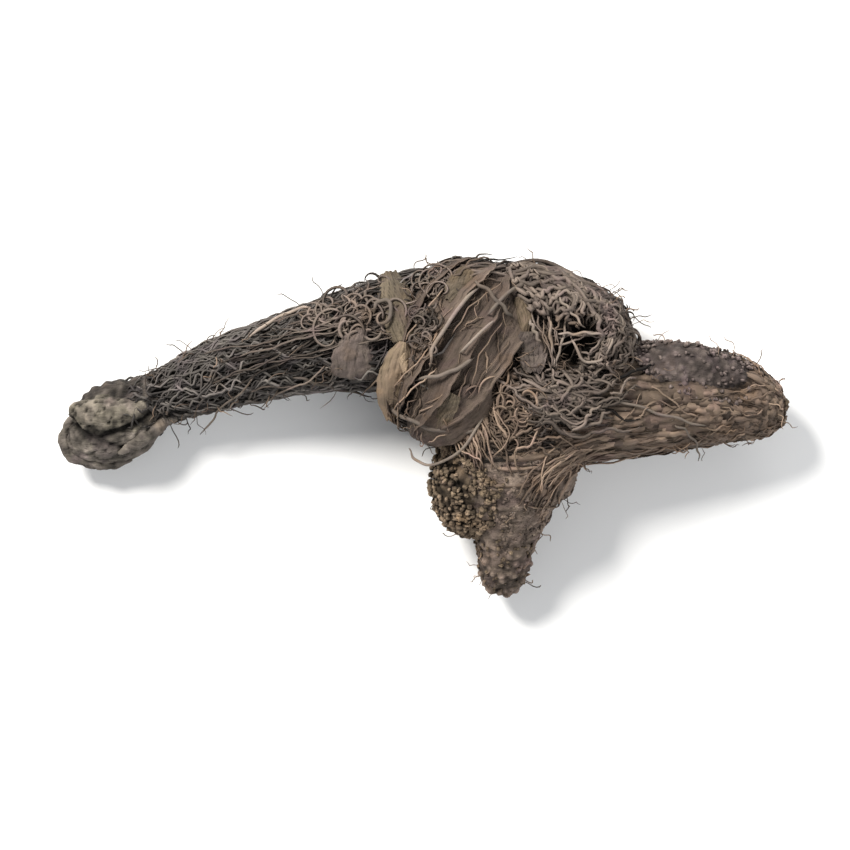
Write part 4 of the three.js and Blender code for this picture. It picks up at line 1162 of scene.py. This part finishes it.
def flap(route, half_widths, lift, tip_lift, cup, shade, seed):
    """A loose scale over the skin, from its base to its tip, as wide as given along it and cupped across."""
    route = np.array(route, float)
    half_widths = np.array(half_widths)[:, None]

    def surface(u, v):
        middle = smooth_curve(route, u)
        before, after = np.maximum(u - 0.01, 0), np.minimum(u + 0.01, 1)
        ahead = unit(smooth_curve(route, after) - smooth_curve(route, before))
        side = np.stack([-ahead[..., 1], ahead[..., 0]], -1)
        across = 2 * v - 1
        width = smooth_curve(half_widths, u)[..., 0] * (1 + 0.10 * ragged(u, seed + 3 * np.round(v)))
        torn = 0.15 * ragged(1.3 * v, seed) * np.clip(4 * u - 3, 0, 1)
        flat = middle + side * (across * width)[..., None] + ahead * torn[..., None]
        height = bridged(middle[:, 0][None])[0][0][:, None]
        rise = between((lift, tip_lift), u) - cup * across**2 + 0.02 * np.cos(TURN * 6 * v)
        rise = rise + 0.10 * ragged(0.8 * u + 0.3 * v, seed + 3) - 0.06 * cracks(u, v, seed)
        out = np.zeros((*u.shape, 3))
        out[..., 2] = 1.0
        return np.concatenate([flat, (height + rise)[..., None]], -1), out
    return sheet(surface, shade, seed, 7.0, 3.5)


piece("tan_scales", [tan_look], [
    flap([(-6.7, 2.4), (-7.4, -0.6), (-7.9, -4.4)], [0.5, 1.3, 1.6, 1.4, 0.4], 1.5, 0.9, 0.7, 0.62, 21.0),
    flap([(-6.7, 2.4), (-6.8, 1.2), (-6.6, -0.2)], [0.2, 0.4, 0.4, 0.2], 1.25, 1.15, 0.3, 0.80, 27.0),
    flap([(3.0, 6.3), (3.5, 4.9), (3.7, 3.1)], [0.3, 0.7, 0.7, 0.3], 1.2, 1.0, 0.3, 0.38, 25.0),
])
piece("olive_scales", [olive_look], [
    flap([(-6.6, 2.6), (-7.4, 5.6), (-8.2, 8.6)], [1.1, 1.4, 1.4, 1.3, 0.8], 1.0, 0.9, 0.7, 0.50, 22.0),
    flap([(-1.0, 8.6), (-1.8, 7.2), (-2.8, 5.8)], [0.8, 1.2, 1.2, 0.6], 0.95, 0.8, 0.4, 0.50, 28.0),
    flap([(-2.6, -2.0), (-3.3, -3.4), (-4.0, -5.0)], [0.7, 1.0, 1.0, 0.6], 1.1, 0.7, 0.3, 0.50, 29.0),
])
piece("grey_scales", [grey_look], [
    flap([(-10.4, 3.6), (-10.9, 1.8), (-11.2, -0.7)], [0.6, 1.3, 1.9, 2.2], 1.0, 0.6, 0.6, 0.66, 23.0),
    flap([(4.3, 3.3), (4.3, 1.6), (4.2, -0.2)], [1.2, 1.4, 1.3, 1.1, 0.7], 1.3, 1.0, 0.3, 0.52, 24.0),
])


# Fine hairs that stand off the fibres

def hairs(rng, limb, count, along, length, radius, shade, steps=9):
    share = evenly(steps)[None, :, None]
    where, angle = draw(rng, along, count)[:, 0], draw(rng, ALL_ROUND, count)[:, 0]
    place, out = on_skin(limb.at(where, angle))
    ahead, side, _ = limb.frame(where)
    lean = unit(ahead * draw(rng, (-1, 1), count) + side * draw(rng, (-0.5, 0.5), count) + out * 0.45)
    long = draw(rng, length, count)[:, None]
    lines = place[:, None] - out[:, None] * 0.4 + lean[:, None] * long * share
    lines = lines + out[:, None] * long * 0.35 * share * (1 - share)
    lines = lines + out[:, None] * 0.5 * np.minimum(1, 4 * share)
    lines = lines + 0.12 * np.sin(TURN * (share * 1.3 + rng.uniform(0, 1, (count, 1, 3))))
    return strands(rng, lines, radius, shade, draw(rng, (0, 1), count), 3, 0.3)


dress("fine_hairs", straw_fibre, 14, [
    (hairs, left_arm, 100, (0.15, 0.9), (1.0, 2.8), (0.035, 0.065), (0.2, 0.7)),
    (hairs, right_arm, 70, (0.2, 0.97), (0.8, 2.4), (0.035, 0.06), (0.3, 0.9)),
    (hairs, nest, 80, (0.2, 0.95), (1.0, 2.8), (0.035, 0.065), (0.2, 0.7)),
    (hairs, stub, 40, (0.3, 0.95), (0.6, 1.8), (0.035, 0.06), (0.3, 0.9)),
    (hairs, belly, 70, (0.1, 0.9), (0.8, 2.2), (0.035, 0.06), (0.2, 0.7)),
])


# The stage: a pale floor, soft lights and a camera straight above, as the photograph's is

def area_light(name, place, aim, size, watts, colour=(1, 1, 1)):
    data = bpy.data.lights.new(name, "AREA")
    data.shape = "DISK"
    data.size = size
    data.energy = watts
    data.color = colour
    lamp = bpy.data.objects.new(name, data)
    lamp.location = place
    lamp.rotation_mode = "QUATERNION"
    lamp.rotation_quaternion = (Vector(aim) - Vector(place)).to_track_quat("-Z", "Y")
    bpy.context.scene.collection.objects.link(lamp)


FLOOR_HALF = 900.0
FLOOR_CORNERS = FLOOR_HALF * np.array([(-1, -1, 0), (1, -1, 0), (1, 1, 0), (-1, 1, 0)])


def floor():
    material, _, shader = new_material("floor", 0.8)
    shader.inputs["Base Color"].default_value = (0.86, 0.855, 0.84, 1)
    made = new_object("floor", FLOOR_CORNERS, np.array([[0, 1, 2, 3]]), [material])


floor()
middle = (cad_low + cad_high) / 2
area_light("key", (-0.22, 0.24, 0.34), middle, 0.16, 3.8, (1.0, 0.98, 0.95))
area_light("fill", (0.30, -0.12, 0.30), middle, 0.35, 0.9, (0.96, 0.98, 1.0))
area_light("rim", (0.05, 0.35, 0.12), middle, 0.15, 0.4)
world = bpy.data.worlds.new("world")
world.use_nodes = True
background = world.node_tree.nodes["Background"]
background.inputs["Color"].default_value = (0.94, 0.96, 1.0, 1)
background.inputs["Strength"].default_value = 0.45
bpy.context.scene.world = world
bpy.context.scene.view_settings.view_transform = "Standard"

CAMERA_HEIGHT = 0.42
SENSOR_WIDTH = 36
FRAME_SHARE = 0.86  # the root's length as a share of the picture's width
camera_data = bpy.data.cameras.new("camera")
camera = bpy.data.objects.new("camera", camera_data)
bpy.context.scene.collection.objects.link(camera)
camera.location = (middle.x, middle.y, CAMERA_HEIGHT)
seen_width = (cad_high.x - cad_low.x) / FRAME_SHARE
camera_data.sensor_width = SENSOR_WIDTH
camera_data.lens = SENSOR_WIDTH * (CAMERA_HEIGHT - middle.z) / seen_width
camera_data.clip_start = 0.01
bpy.context.scene.camera = camera

bpy.context.view_layer.update()
